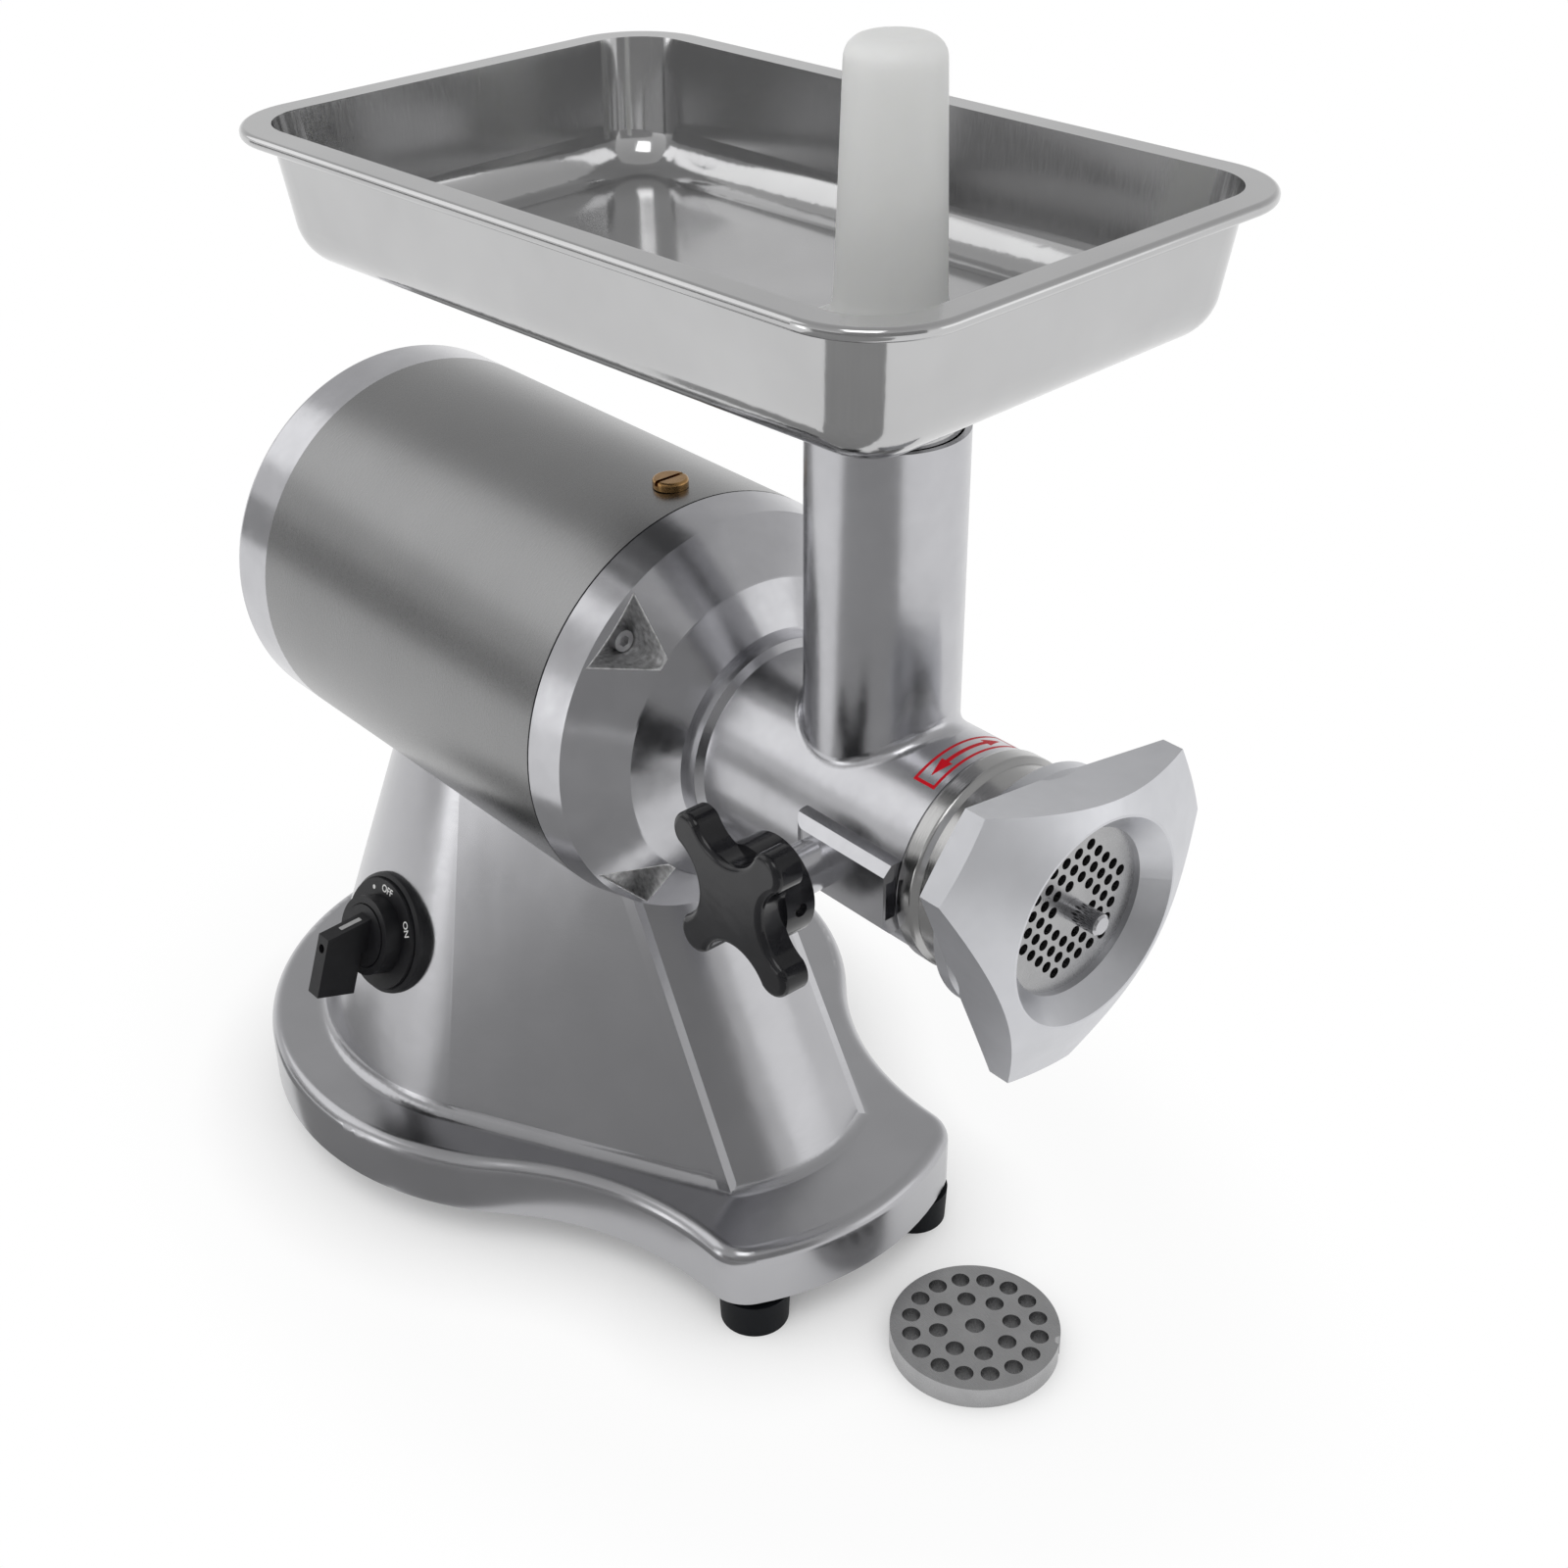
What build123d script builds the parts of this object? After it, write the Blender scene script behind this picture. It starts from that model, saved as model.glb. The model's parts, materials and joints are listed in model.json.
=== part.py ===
# Electric meat grinder: a bench machine with a No. 12 mincing head.
# Millimetres, +Z up, the outlet faces -Y, the floor is Z = 0.
# Y is measured from the seam between motor sleeve and gear cover while the pieces are made,
# and every piece is moved at the end so that the origin lies under the middle of the machine.

import os
from math import acos, atan2, cos, degrees, hypot, pi, radians, sin, sqrt

from build123d import *

# Clearances
SEAT = 0.1            # pieces of one body that sit in or on each other
RUN = 0.05            # shaft in a bearing, radial
FREE = 0.4            # curved faces that pass each other

# Main lines
AXIS_Z = 244.0        # height of the barrel and motor axis
SLEEVE_R = 86.0
SLEEVE_LENGTH = 191.0
SLEEVE_WALL = 1.5
CAP_LENGTH = 24.0
GASKET = 0.8

# Base casting
FOOT_HEIGHT = 16.0
FOOT_R = 15.0
FOOT_DRAFT = 0.7
PLATE_SHEET = 2.0     # bottom plate
SKIRT_TOP = 45.0
SKIRT_EDGE_R = 6.0
BASE_WALL = 5.0
REAR_ROUND_R = 136.0  # round rear end of the skirt
REAR_ROUND_Y = 114.0
WAIST_R = 140.0
FRONT_HALF_WIDTH = 64.0
FRONT_Y = -104.0
FRONT_BOW_R = 120.0
FRONT_CORNER_R = 18.0
FRONT_FOOT_SIDE = 18.0   # from the side of the skirt
FRONT_FOOT_BACK = 24.0   # from the front of the skirt
REAR_FOOT_INSET = 25.4   # from the round rear
REAR_FOOT_ANGLE = 40.6
FOOT_BOSS_R = 9.0
FOOT_SCREW_R = 2.5
FOOT_HEAD_R = 5.0
FOOT_HEAD_HEIGHT = 4.0
FOOT_FLOOR = 6.0      # rubber under the bottom plate that the screw holds

# Pedestal, a leaning column between the skirt and the sleeve
PEDESTAL_TOP = 200.0
PEDESTAL_REAR_STEP = 26.0  # from the round rear of the skirt
PEDESTAL_REAR_Y = 115.0
PEDESTAL_LEAN = 0.336  # loss of rear radius per mm of height
PEDESTAL_HALF_WIDTH = 38.5
PEDESTAL_FRONT_Y = -57.0
FRONT_LEAN = 0.55     # front face, mm back per mm of height
SIDE_LEAN = 0.03
FRONT_BULGE = 9.0
PEDESTAL_FOOT_R = 6.5
RIB_SIDE = 5.6        # width of the strip along each front edge
RIB_PROUD = 2.5       # the strip stands out from the side wall

# Rotary switch on the left side of the pedestal
SWITCH_Y = 116.3
SWITCH_Z = 110.7
SWITCH_BOSS_R = 26.5
SWITCH_BOSS_PROUD = 1.0
SWITCH_BOSS_DEPTH = 18.0
SWITCH_PLATE_R = 24.5
SWITCH_PLATE_THICKNESS = 4.0
SWITCH_COLLAR_R = 17.5
SWITCH_COLLAR_HEIGHT = 8.0
SWITCH_NECK_R = 11.0
SWITCH_SHAFT_R = 5.0
SWITCH_BODY = 40.0
SWITCH_BODY_DEPTH = 38.0
SWITCH_CAP_R = 13.8
SWITCH_CAP_PROUD = 0.5
HANDLE_WIDTH = 7.5
HANDLE_HEIGHT = 20.0
HANDLE_LENGTH = 27.7
HANDLE_TIP = 1.5      # outer edge of the pointer, above the switch axis
HANDLE_FOOT = 9.5     # where the pointer's slope meets the cap
HANDLE_LIFT = 1.5     # the rear end hangs this far over the collar
HANDLE_HOLE_R = 2.0
HANDLE_HOLE_PLACE = 5.5  # behind the pointer's edge

# Cable gland at the rear of the pedestal
GLAND_Z = 78.0
GLAND_BOSS_R = 14.0
GLAND_BOSS_DEPTH = 14.0
GLAND_THREAD_R = 8.0
GLAND_NUT = 20.0      # across flats
GLAND_NUT_HEIGHT = 6.0
GLAND_DOME_R = 8.5
GLAND_DOME_LENGTH = 10.0
GLAND_BORE_R = 3.6

# Gear cover
BAND_LENGTH = 16.0
BAND_TAPER = 3.0
CONE_FRONT_Y = -32.0
CONE_WIDTH = 20.5     # from the band in to the cone's front edge
COVER_FRONT_Y = -41.0
COVER_FRONT_R = 45.5
COVER_RIDGE_R = 4.0
COVER_WALL = 10.0
COVER_CAVITY_FRONT = -27.0
COVER_SPIGOT = 10.0
POCKET_RIM = 1.5      # left of the cone outside a screw pocket
POCKET_LENGTH = 21.5
POCKET_HALF_ANGLE = 11.0
POCKET_FLOOR = -8.0
POCKET_CORNER_R = 4.5
POCKET_WALL = 3.0
COVER_SCREW_INSET = 18.5  # from the sleeve's outside to the screw circle
COVER_SCREW_R = 2.5
COVER_SCREW_HEAD_R = 4.25
COVER_SCREW_HEAD_HEIGHT = 5.0
COVER_SCREW_BOSS_R = 7.0
COVER_SCREW_COUNT = 4
HEX_KEY = 4.0         # across flats of the socket in a screw head
OIL_PLUG_Y = 17.0
OIL_PLUG_R = 5.0
OIL_PLUG_HEAD_R = 7.0
OIL_PLUG_HEAD = 3.5
OIL_PLUG_SLOT = 1.8

# Neck with the feed tube
NECK_R = 40.0
NECK_STEP_R = 43.0
NECK_STEP_LENGTH = 5.0
NECK_FRONT_Y = -151.0
NECK_SPIGOT_R = 29.0
NECK_REAR_WALL_Y = -57.0
FEED_Y = -101.0
FEED_R = 28.2
FEED_BORE_R = 26.0
FEED_TOP_Z = 391.7
FEED_FOOT_R = 5.0
BLOCK_HALF_HEIGHT = 14.0
BLOCK_X = -46.0       # outer face of the clamp block
BLOCK_REAR_Y = -103.0
CLAMP_Y = -116.5
CLAMP_BOSS_R = 9.5
CLAMP_BOSS_X = -62.0
STUD_R = 5.0
SLOT_X = -42.5
SLOT_WIDTH = 4.5
SLOT_HEIGHT = 15.0
SLOT_DEPTH = 6.0

# Mincing barrel
BARREL_R = 36.3
BARREL_BORE_R = 32.0
BARREL_REAR_Y = -66.0
COLLAR_R = 41.0
COLLAR_LENGTH = 8.0
COLLAR_BEAD_R = 2.0
THROAT_R = 39.0
NOSE_Y = -172.0
NOSE_R = 38.0
NOSE_FRONT_Y = -193.5
WINDOW_R = 23.5

# Cutting plates
PLATE_R = 35.0
PLATE_THICKNESS = 9.9
PLATE_FACE_Y = -196.0
PIN_R = 4.0
FINE_HOLE_R = 2.1
FINE_HOLE_PITCH = 6.1
FINE_SIDE = 4         # steps along each side of the six-sided field of holes
FINE_TURN = 13.0
COARSE_HOLE_R = 3.8
COARSE_OUTER_COUNT = 16
COARSE_OUTER_R = 26.6
COARSE_INNER_COUNT = 8
COARSE_INNER_R = 15.4
NOTCH_R = 2.2
KEY_R = 1.8
SPARE_X = 9.8
SPARE_Y = -153.6
SPARE_TURN = -145.0

# Feed screw and knife
SCREW_REAR_Y = -70.0
SCREW_CORE_R = 11.0
SCREW_DISC = 4.0
FLIGHT_SECTOR = 62.0  # angle of the flight in a cross-section
FLIGHT_PITCH = 34.0
TANG = 12.4           # square tang at the rear
TANG_REAR_Y = -48.0
PIN_END_Y = -209.5
KNIFE_THICKNESS = 8.5
KNIFE_HUB_R = 13.0
KNIFE_TIP_R = 30.5
KNIFE_ARM = 11.0
KNIFE_SQUARE = 14.0
KNIFE_ARMS = 4

# Ring nut with three grips
NUT_GRIP_COUNT = 3
NUT_GRIP_ANGLE = 22.5
NUT_GRIP_R = 68.5
NUT_GRIP_HALF_ANGLE = 13.5
NUT_SIDE_R = 45.0
NUT_HUB_R = 46.0
NUT_REAR_Y = -172.5
NUT_WING_REAR_Y = -181.0
NUT_EDGE_Y = -192.5
NUT_MOUTH_Y = -207.0
NUT_MOUTH_R = 40.0
NUT_LIP_R = 31.7
NUT_LIP = 2.5

# Star knob
KNOB_HUB_R = 18.7
KNOB_HUB_LENGTH = 12.5
KNOB_THICKNESS = 11.0
KNOB_LOBE_R = 7.5
KNOB_LOBE_CIRCLE_R = 28.8
KNOB_WAIST_R = 16.5   # from the axis to the hollow between two lobes
KNOB_TURN = 49.0
KNOB_ROUND = 2.5
KNOB_LOBES = 4
KNOB_HOLE_R = 2.6
KNOB_GAP = 1.0        # between knob and clamp boss when tight
PAD_LENGTH = 5.0

# Tray and pusher
TRAY_TURN = 3.8       # the loose tray stands turned by this much
TRAY_CENTRE_Y = -30.1
TRAY_WIDTH = 208.0
TRAY_LENGTH = 322.0
TRAY_CORNER_R = 33.0
TRAY_RIM_Z = 468.4
TRAY_RIM = 10.0
TRAY_RIM_HEIGHT = 4.4
TRAY_RIM_ROUND = 2.0
TRAY_DEPTH = 50.0
TRAY_DRAFT = 6.0
TRAY_SHEET = 1.2
TRAY_FLOOR_R = 18.0
SPOUT_R = 25.5
SPOUT_WALL = 1.2
SPOUT_DEPTH = 30.0    # length inside the feed tube
PUSHER_R = 23.0
PUSHER_LENGTH = 110.0  # below the tray floor
PUSHER_COLLAR_R = 32.0
PUSHER_COLLAR = 4.0
PUSHER_FLARE = 13.0
PUSHER_GRIP_R = 18.6
PUSHER_TOP_R = 16.0
PUSHER_TOP_Z = 517.0
PUSHER_TOP_ROUND = 7.0

# Motor
END_PLATE_Y = 12.0
END_PLATE = 12.0
SHAFT_REAR_Y = 203.0
MOTOR_BEARING_R = 17.5
MOTOR_BEARING = 11.0
CORE_REAR_Y = 130.0
CORE_LENGTH = 70.0
STATOR_DEPTH = 29.0   # from the stator's outside to its bore
FRAME_RING = 18.5     # between stator and sleeve
FRAME_VENT_R = 7.5
FRAME_VENTS = 8
WINDING_LENGTH = 14.0
WINDING_STEP = 4.0    # the winding's bore is wider than the stator's by this
WINDING_INSET = 4.0
FAN_Y = 152.0
FAN_WIDTH = 16.0
FAN_R = 58.0
FAN_HUB_R = 15.0
FAN_BLADES = 8
FAN_BLADE = 2.5
CAP_WALL = 5.0
CAP_HUB_R = 24.0
CAP_EDGE_R = 2.5
CAP_SPIGOT = 6.0
CAP_VENTS = 12
CAP_VENT_WIDTH = 6.0
CAP_VENT_LENGTH = 26.0
CAP_SCREW_INSET = 12.0
CAP_SCREWS = 4
CAP_SCREW_BEVEL = 1.2

# Gear train: motor pinion, lay gear, lay pinion, output gear
GEAR_ROOM = 2.5       # from the lay gear's pitch circle to the cover's wall
PINION_WALL = 1.2     # between the motor shaft and the pinion's tooth roots
TOOTH_ROOT = 1.2      # depth under the pitch circle, in modules
TOOTH_TIP = 0.85      # height over the pitch circle, in modules
PINION_TEETH = 14
LAY_GEAR_TEETH = 42
LAY_PINION_TEETH = 11
OUTPUT_TEETH = 31
FAST_GEAR_Y = 0.0
FAST_GEAR = 10.0
SLOW_GEAR_Y = -22.0
SLOW_GEAR = 18.0
LAY_SHAFT_R = 6.0
LAY_BUSH_R = 9.0
LAY_BUSH = 6.0
OUTPUT_SHAFT_R = 14.0
OUTPUT_SHAFT_FRONT = -64.0
OUTPUT_BEARING_R = 24.0
OUTPUT_BEARING = 13.0
SEAL_R = 20.0
SEAL = 7.0
SOCKET_PLAY = 0.4

# Electrical pieces inside the base
CAPACITOR_R = 20.0
CAPACITOR_LENGTH = 70.0
CAPACITOR_X = 30.0
CAPACITOR_Y = 60.0
CLIP_WIDTH = 14.0
CLIP_SHEET = 1.5
CLIP_EAR = 12.0
TERMINAL_SIZE = (22.0, 60.0, 20.0)
TERMINAL_HOLE_R = 2.5
TERMINAL_X = -28.0
TERMINAL_Y = 40.0

# Sizes that follow from the ones above
SKIRT_BOTTOM = FOOT_HEIGHT + PLATE_SHEET
SLEEVE_BORE_R = SLEEVE_R - SLEEVE_WALL
BAND_FRONT_R = SLEEVE_R - BAND_TAPER
CONE_FRONT_R = BAND_FRONT_R - CONE_WIDTH
COVER_CAVITY_R = SLEEVE_R - COVER_WALL
POCKET_OUTER_R = BAND_FRONT_R - POCKET_RIM
POCKET_INNER_R = POCKET_OUTER_R - POCKET_LENGTH
COVER_SCREW_CIRCLE_R = SLEEVE_R - COVER_SCREW_INSET
CAP_SCREW_CIRCLE_R = SLEEVE_R - CAP_SCREW_INSET
CAP_VENT_CIRCLE_R = (CAP_HUB_R + SLEEVE_BORE_R - CAP_WALL) / 2
STATOR_R = SLEEVE_BORE_R - FRAME_RING
STATOR_BORE_R = STATOR_R - STATOR_DEPTH
ROTOR_R = STATOR_BORE_R - FREE
FRAME_VENT_CIRCLE_R = (STATOR_R + SLEEVE_BORE_R) / 2
WINDING_OUTER_R = STATOR_R - WINDING_INSET
WINDING_INNER_R = STATOR_BORE_R + WINDING_STEP
CAP_REAR_Y = SLEEVE_LENGTH + CAP_LENGTH
PLATE_BACK_Y = PLATE_FACE_Y + PLATE_THICKNESS
KNIFE_BACK_Y = PLATE_BACK_Y + KNIFE_THICKNESS
TRAY_FLOOR_Z = TRAY_RIM_Z - TRAY_DEPTH
FAST_MODULE = (COVER_CAVITY_R - GEAR_ROOM) / (PINION_TEETH / 2 + LAY_GEAR_TEETH)
SHAFT_R = FAST_MODULE * (PINION_TEETH / 2 - TOOTH_ROOT) - PINION_WALL
LAY_OFFSET = FAST_MODULE * (PINION_TEETH + LAY_GEAR_TEETH) / 2
SLOW_MODULE = LAY_OFFSET / (LAY_PINION_TEETH + OUTPUT_TEETH) * 2
STUD_TIP_X = -(BARREL_R + SEAT + PAD_LENGTH)
KNOB_REAR_X = CLAMP_BOSS_X - KNOB_GAP
BASE_REAR_Y = REAR_ROUND_Y + REAR_ROUND_R
PEDESTAL_REAR_R = REAR_ROUND_R - PEDESTAL_REAR_STEP
MIDDLE_Y = (BASE_REAR_Y + PIN_END_Y) / 2
FRONT_FOOT_X = FRONT_HALF_WIDTH - FRONT_FOOT_SIDE
FRONT_FOOT_Y = FRONT_Y + FRONT_FOOT_BACK
REAR_FOOT_X = (REAR_ROUND_R - REAR_FOOT_INSET) * cos(radians(REAR_FOOT_ANGLE))
REAR_FOOT_Y = REAR_ROUND_Y + (REAR_ROUND_R - REAR_FOOT_INSET) * sin(radians(REAR_FOOT_ANGLE))
FOOT_PLACES = [
    (-FRONT_FOOT_X, FRONT_FOOT_Y),
    (FRONT_FOOT_X, FRONT_FOOT_Y),
    (-REAR_FOOT_X, REAR_FOOT_Y),
    (REAR_FOOT_X, REAR_FOOT_Y),
]


# Shared shapes


def turned(points):
    """A solid turned about the barrel axis from (radius, y) points."""
    profile = make_face(Polyline(*points, close=True))
    return Pos(0, 0, AXIS_Z) * revolve(profile, Axis.Y)


def ring(outer_r, inner_r, front_y, rear_y):
    """A plain ring or disc on the barrel axis."""
    return turned([(inner_r, front_y), (outer_r, front_y), (outer_r, rear_y), (inner_r, rear_y)])


def post(x, y, radius, bottom, top):
    """An upright cylinder."""
    return Pos(x, y, bottom) * Cylinder(radius, top - bottom, align=(Align.CENTER, Align.CENTER, Align.MIN))


def rod_y(x, z, radius, front_y, rear_y):
    """A cylinder along Y."""
    return Pos(x, (front_y + rear_y) / 2, z) * Rot(90, 0, 0) * Cylinder(radius, rear_y - front_y)


def rod_x(y, z, radius, left_x, right_x):
    """A cylinder along X."""
    return Pos((left_x + right_x) / 2, y, z) * Rot(0, 90, 0) * Cylinder(radius, right_x - left_x)


def on_axis(flat, front_y, rear_y):
    """A flat drawing in the X-Z plane about the barrel axis, made solid from front_y to rear_y."""
    face = Plane(origin=(0, front_y, AXIS_Z), x_dir=(1, 0, 0), z_dir=(0, -1, 0)) * flat
    return extrude(face, amount=front_y - rear_y)


def around_axis(shape, count, first_angle=0.0):
    """Copies of a shape spread evenly about the barrel axis."""
    copies = []
    for index in range(count):
        turn = first_angle + 360 * index / count
        copies.append(Pos(0, 0, AXIS_Z) * Rot(0, turn, 0) * Pos(0, 0, -AXIS_Z) * shape)
    return copies


def at_angle(radius, angle):
    """X and Z offsets from the barrel axis, the angle counted from +X towards +Z."""
    return radius * cos(radians(angle)), radius * sin(radians(angle))


def gear(teeth, module, front_y, rear_y, bore_r, centre_z, first_tooth):
    """A spur gear about an axis along Y, with one tooth centred on the angle first_tooth."""
    pitch_r = teeth * module / 2
    root_r = pitch_r - TOOTH_ROOT * module
    tip_r = pitch_r + TOOTH_TIP * module
    step = 360 / teeth
    points = []
    for index in range(teeth):
        middle = first_tooth + index * step
        for radius, share in ((root_r, -0.34), (tip_r, -0.1), (tip_r, 0.1), (root_r, 0.34)):
            points.append(at_angle(radius, middle + share * step))
    outline = make_face(Polyline(*points, close=True))
    blank = on_axis(outline - Circle(bore_r), front_y, rear_y)
    return Pos(0, 0, centre_z - AXIS_Z) * blank


# Base


def meeting_point(centre_a, radius_a, centre_b, radius_b):
    """The lower one of the two points where two circles meet."""
    apart_x = centre_b[0] - centre_a[0]
    apart_y = centre_b[1] - centre_a[1]
    apart = hypot(apart_x, apart_y)
    along = (radius_a ** 2 - radius_b ** 2 + apart ** 2) / (2 * apart)
    across = sqrt(radius_a ** 2 - along ** 2)
    x = centre_a[0] + (along * apart_x + across * apart_y) / apart
    return x, centre_a[1] + (along * apart_y - across * apart_x) / apart


def base_outline(inset):
    """The fiddle-shaped outline of the base, drawn in by an inset, as a flat face."""
    rear_r = REAR_ROUND_R - inset
    half = FRONT_HALF_WIDTH - inset
    waist_r = WAIST_R + inset
    bow_r = FRONT_BOW_R - inset
    corner_r = FRONT_CORNER_R - inset
    waist_x = -(half + waist_r)
    waist_y = REAR_ROUND_Y - sqrt((rear_r + waist_r) ** 2 - waist_x ** 2)
    bow_y = FRONT_Y + FRONT_BOW_R
    corner = meeting_point((waist_x, waist_y), waist_r + corner_r, (0, bow_y), bow_r - corner_r)
    waist_turn = degrees(atan2(REAR_ROUND_Y - waist_y, -waist_x))
    waist_end = degrees(atan2(corner[1] - waist_y, corner[0] - waist_x))
    corner_turn = 360 + degrees(atan2(corner[1] - bow_y, corner[0]))
    left = [
        CenterArc((0, REAR_ROUND_Y), rear_r, 90, 90 + waist_turn),
        CenterArc((waist_x, waist_y), waist_r, waist_turn, waist_end - waist_turn),
        CenterArc(corner, corner_r, 180 + waist_end, corner_turn - 180 - waist_end),
        CenterArc((0, bow_y), bow_r, corner_turn, 270 - corner_turn),
    ]
    right = [mirror(edge, about=Plane.YZ) for edge in left]
    return make_face(left + right)


def pedestal_front(z):
    """Half width and Y of the pedestal's front edges at a height."""
    rise = z - SKIRT_TOP
    return PEDESTAL_HALF_WIDTH - SIDE_LEAN * rise, PEDESTAL_FRONT_Y + FRONT_LEAN * rise


def side_touch(z, half, front_y, inset):
    """Where the left side wall, drawn from a front corner, runs into the round rear."""
    rear_r = PEDESTAL_REAR_R - PEDESTAL_LEAN * (z - SKIRT_TOP) - inset
    reach = hypot(half, PEDESTAL_REAR_Y - front_y)
    touch = atan2(front_y - PEDESTAL_REAR_Y, -half) - acos(rear_r / reach)
    return rear_r, (rear_r * cos(touch), PEDESTAL_REAR_Y + rear_r * sin(touch))


def pedestal_section(z, inset):
    """The pedestal's outline at a height: round rear, straight sides, bowed front."""
    half, front_y = pedestal_front(z)
    half -= RIB_PROUD + inset
    front_y += inset
    rear_r, left = side_touch(z, half, front_y, inset)
    right = (-left[0], left[1])
    edges = [
        ThreePointArc((-half, front_y), (0, front_y - FRONT_BULGE), (half, front_y)),
        Line((half, front_y), right),
        ThreePointArc(right, (0, PEDESTAL_REAR_Y + rear_r), left),
        Line(left, (-half, front_y)),
    ]
    return Pos(0, 0, z) * make_face(edges)


def rib_section(z, side):
    """The strip on one front edge, cut across at a height."""
    half, front_y = pedestal_front(z)
    touch = side_touch(z, half, front_y, 0)[1]
    edge = Vector(-half, front_y)
    along = (Vector(*touch) - edge).normalized()
    inward = Vector(along.Y, -along.X)
    back = edge + along * RIB_SIDE
    root = back + inward * (RIB_PROUD + BASE_WALL / 2)
    front = edge + Vector(2 * RIB_PROUD, -RIB_PROUD / 3)
    outline = make_face(Polyline(edge, back, root, front, close=True))
    if side > 0:
        outline = mirror(outline, about=Plane.YZ)
    return Pos(0, 0, z) * outline


def front_rib(side):
    """The raised strip along one front edge of the pedestal."""
    return loft([rib_section(SKIRT_TOP - BASE_WALL / 2, side), rib_section(PEDESTAL_TOP, side)], ruled=True)


def switch_plane():
    """The outer face of the switch boss: X to the right, Y up, Z outwards."""
    lean = atan2(PEDESTAL_LEAN, 1)
    wall_x = -(PEDESTAL_REAR_R - PEDESTAL_LEAN * (SWITCH_Z - SKIRT_TOP))
    outward = Vector(-cos(lean), 0, sin(lean))
    centre = Vector(wall_x, SWITCH_Y, SWITCH_Z) + outward * SWITCH_BOSS_PROUD
    return Plane(origin=centre, x_dir=(0, -1, 0), z_dir=outward)


def on_switch(radius, low, high):
    """A cylinder on the switch axis, heights counted outwards from the boss face."""
    return switch_plane() * Pos(0, 0, low) * Cylinder(
        radius, high - low, align=(Align.CENTER, Align.CENTER, Align.MIN))


def gland_face_y():
    """Where the flat boss of the cable gland ends."""
    return PEDESTAL_REAR_Y + PEDESTAL_REAR_R - PEDESTAL_LEAN * (GLAND_Z - GLAND_BOSS_R - SKIRT_TOP)


def make_pedestal():
    """The base casting, hollow and open below, with a saddle for the motor sleeve."""
    skirt = extrude(Pos(0, 0, SKIRT_BOTTOM) * base_outline(0), amount=SKIRT_TOP - SKIRT_BOTTOM)
    skirt = fillet(skirt.edges().group_by(Axis.Z)[-1], SKIRT_EDGE_R)
    column = loft([pedestal_section(SKIRT_TOP, 0), pedestal_section(PEDESTAL_TOP, 0)], ruled=True)
    foot_line = pedestal_section(SKIRT_TOP, 0).face().outer_wire()
    body = skirt + column
    foot_edges = body.edges().filter_by(lambda edge: foot_line.distance_to(edge @ 0.5) < 0.01)
    body = fillet(foot_edges, PEDESTAL_FOOT_R)
    saddle = rod_y(0, AXIS_Z, SLEEVE_R + SEAT, 2 * FRONT_Y, 2 * BASE_REAR_Y)
    body -= saddle
    body += [front_rib(side) - saddle for side in (-1, 1)]
    body += on_switch(SWITCH_BOSS_R, -SWITCH_BOSS_DEPTH, 0)
    gland_y = gland_face_y()
    body += rod_y(0, GLAND_Z, GLAND_BOSS_R, gland_y - GLAND_BOSS_DEPTH, gland_y)
    roof = AXIS_Z - SLEEVE_R - BASE_WALL
    hollow = extrude(Pos(0, 0, SKIRT_BOTTOM) * base_outline(BASE_WALL),
                     amount=SKIRT_TOP - BASE_WALL - SKIRT_BOTTOM)
    inside = loft([pedestal_section(SKIRT_TOP - BASE_WALL, BASE_WALL),
                   pedestal_section(roof, BASE_WALL)], ruled=True)
    inside -= on_switch(SWITCH_BOSS_R, -SWITCH_BOSS_DEPTH, 0)
    inside -= rod_y(0, GLAND_Z, GLAND_BOSS_R, gland_y - GLAND_BOSS_DEPTH, gland_y)
    body -= hollow
    body -= inside
    for x, y in FOOT_PLACES:
        body += post(x, y, FOOT_BOSS_R, SKIRT_BOTTOM, SKIRT_TOP - BASE_WALL)
        body -= post(x, y, FOOT_SCREW_R + SEAT, SKIRT_BOTTOM, SKIRT_TOP - 2 * BASE_WALL)
    body -= on_switch(SWITCH_NECK_R + SEAT, -SWITCH_BOSS_DEPTH, 0)
    body -= rod_y(0, GLAND_Z, GLAND_THREAD_R + SEAT, gland_y - GLAND_BOSS_DEPTH, gland_y)
    return body


def make_bottom_plate():
    """The sheet that closes the base from below."""
    sheet = extrude(Pos(0, 0, FOOT_HEIGHT) * base_outline(BASE_WALL - 1), amount=PLATE_SHEET)
    for x, y in FOOT_PLACES:
        sheet -= post(x, y, FOOT_SCREW_R + SEAT, FOOT_HEIGHT, SKIRT_BOTTOM)
    return sheet


def make_foot(x, y):
    """A rubber foot, a little narrower at the floor, with a recess for its screw."""
    foot = Pos(x, y, FOOT_HEIGHT / 2) * Cone(FOOT_R - FOOT_DRAFT, FOOT_R, FOOT_HEIGHT)
    recess_top = FOOT_HEIGHT - FOOT_FLOOR
    foot -= post(x, y, FOOT_HEAD_R + 2 * FREE, 0, recess_top)
    return foot - post(x, y, FOOT_SCREW_R + SEAT, recess_top, FOOT_HEIGHT)


def make_foot_screws():
    """The four screws that hold feet and bottom plate."""
    screws = []
    head_top = FOOT_HEIGHT - FOOT_FLOOR
    shank_top = SKIRT_TOP - 2 * BASE_WALL - 1
    for x, y in FOOT_PLACES:
        screw = post(x, y, FOOT_HEAD_R, head_top - FOOT_HEAD_HEIGHT, head_top)
        screws.append(screw + post(x, y, FOOT_SCREW_R, head_top, shank_top))
    return screws


# Rotary switch


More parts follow.
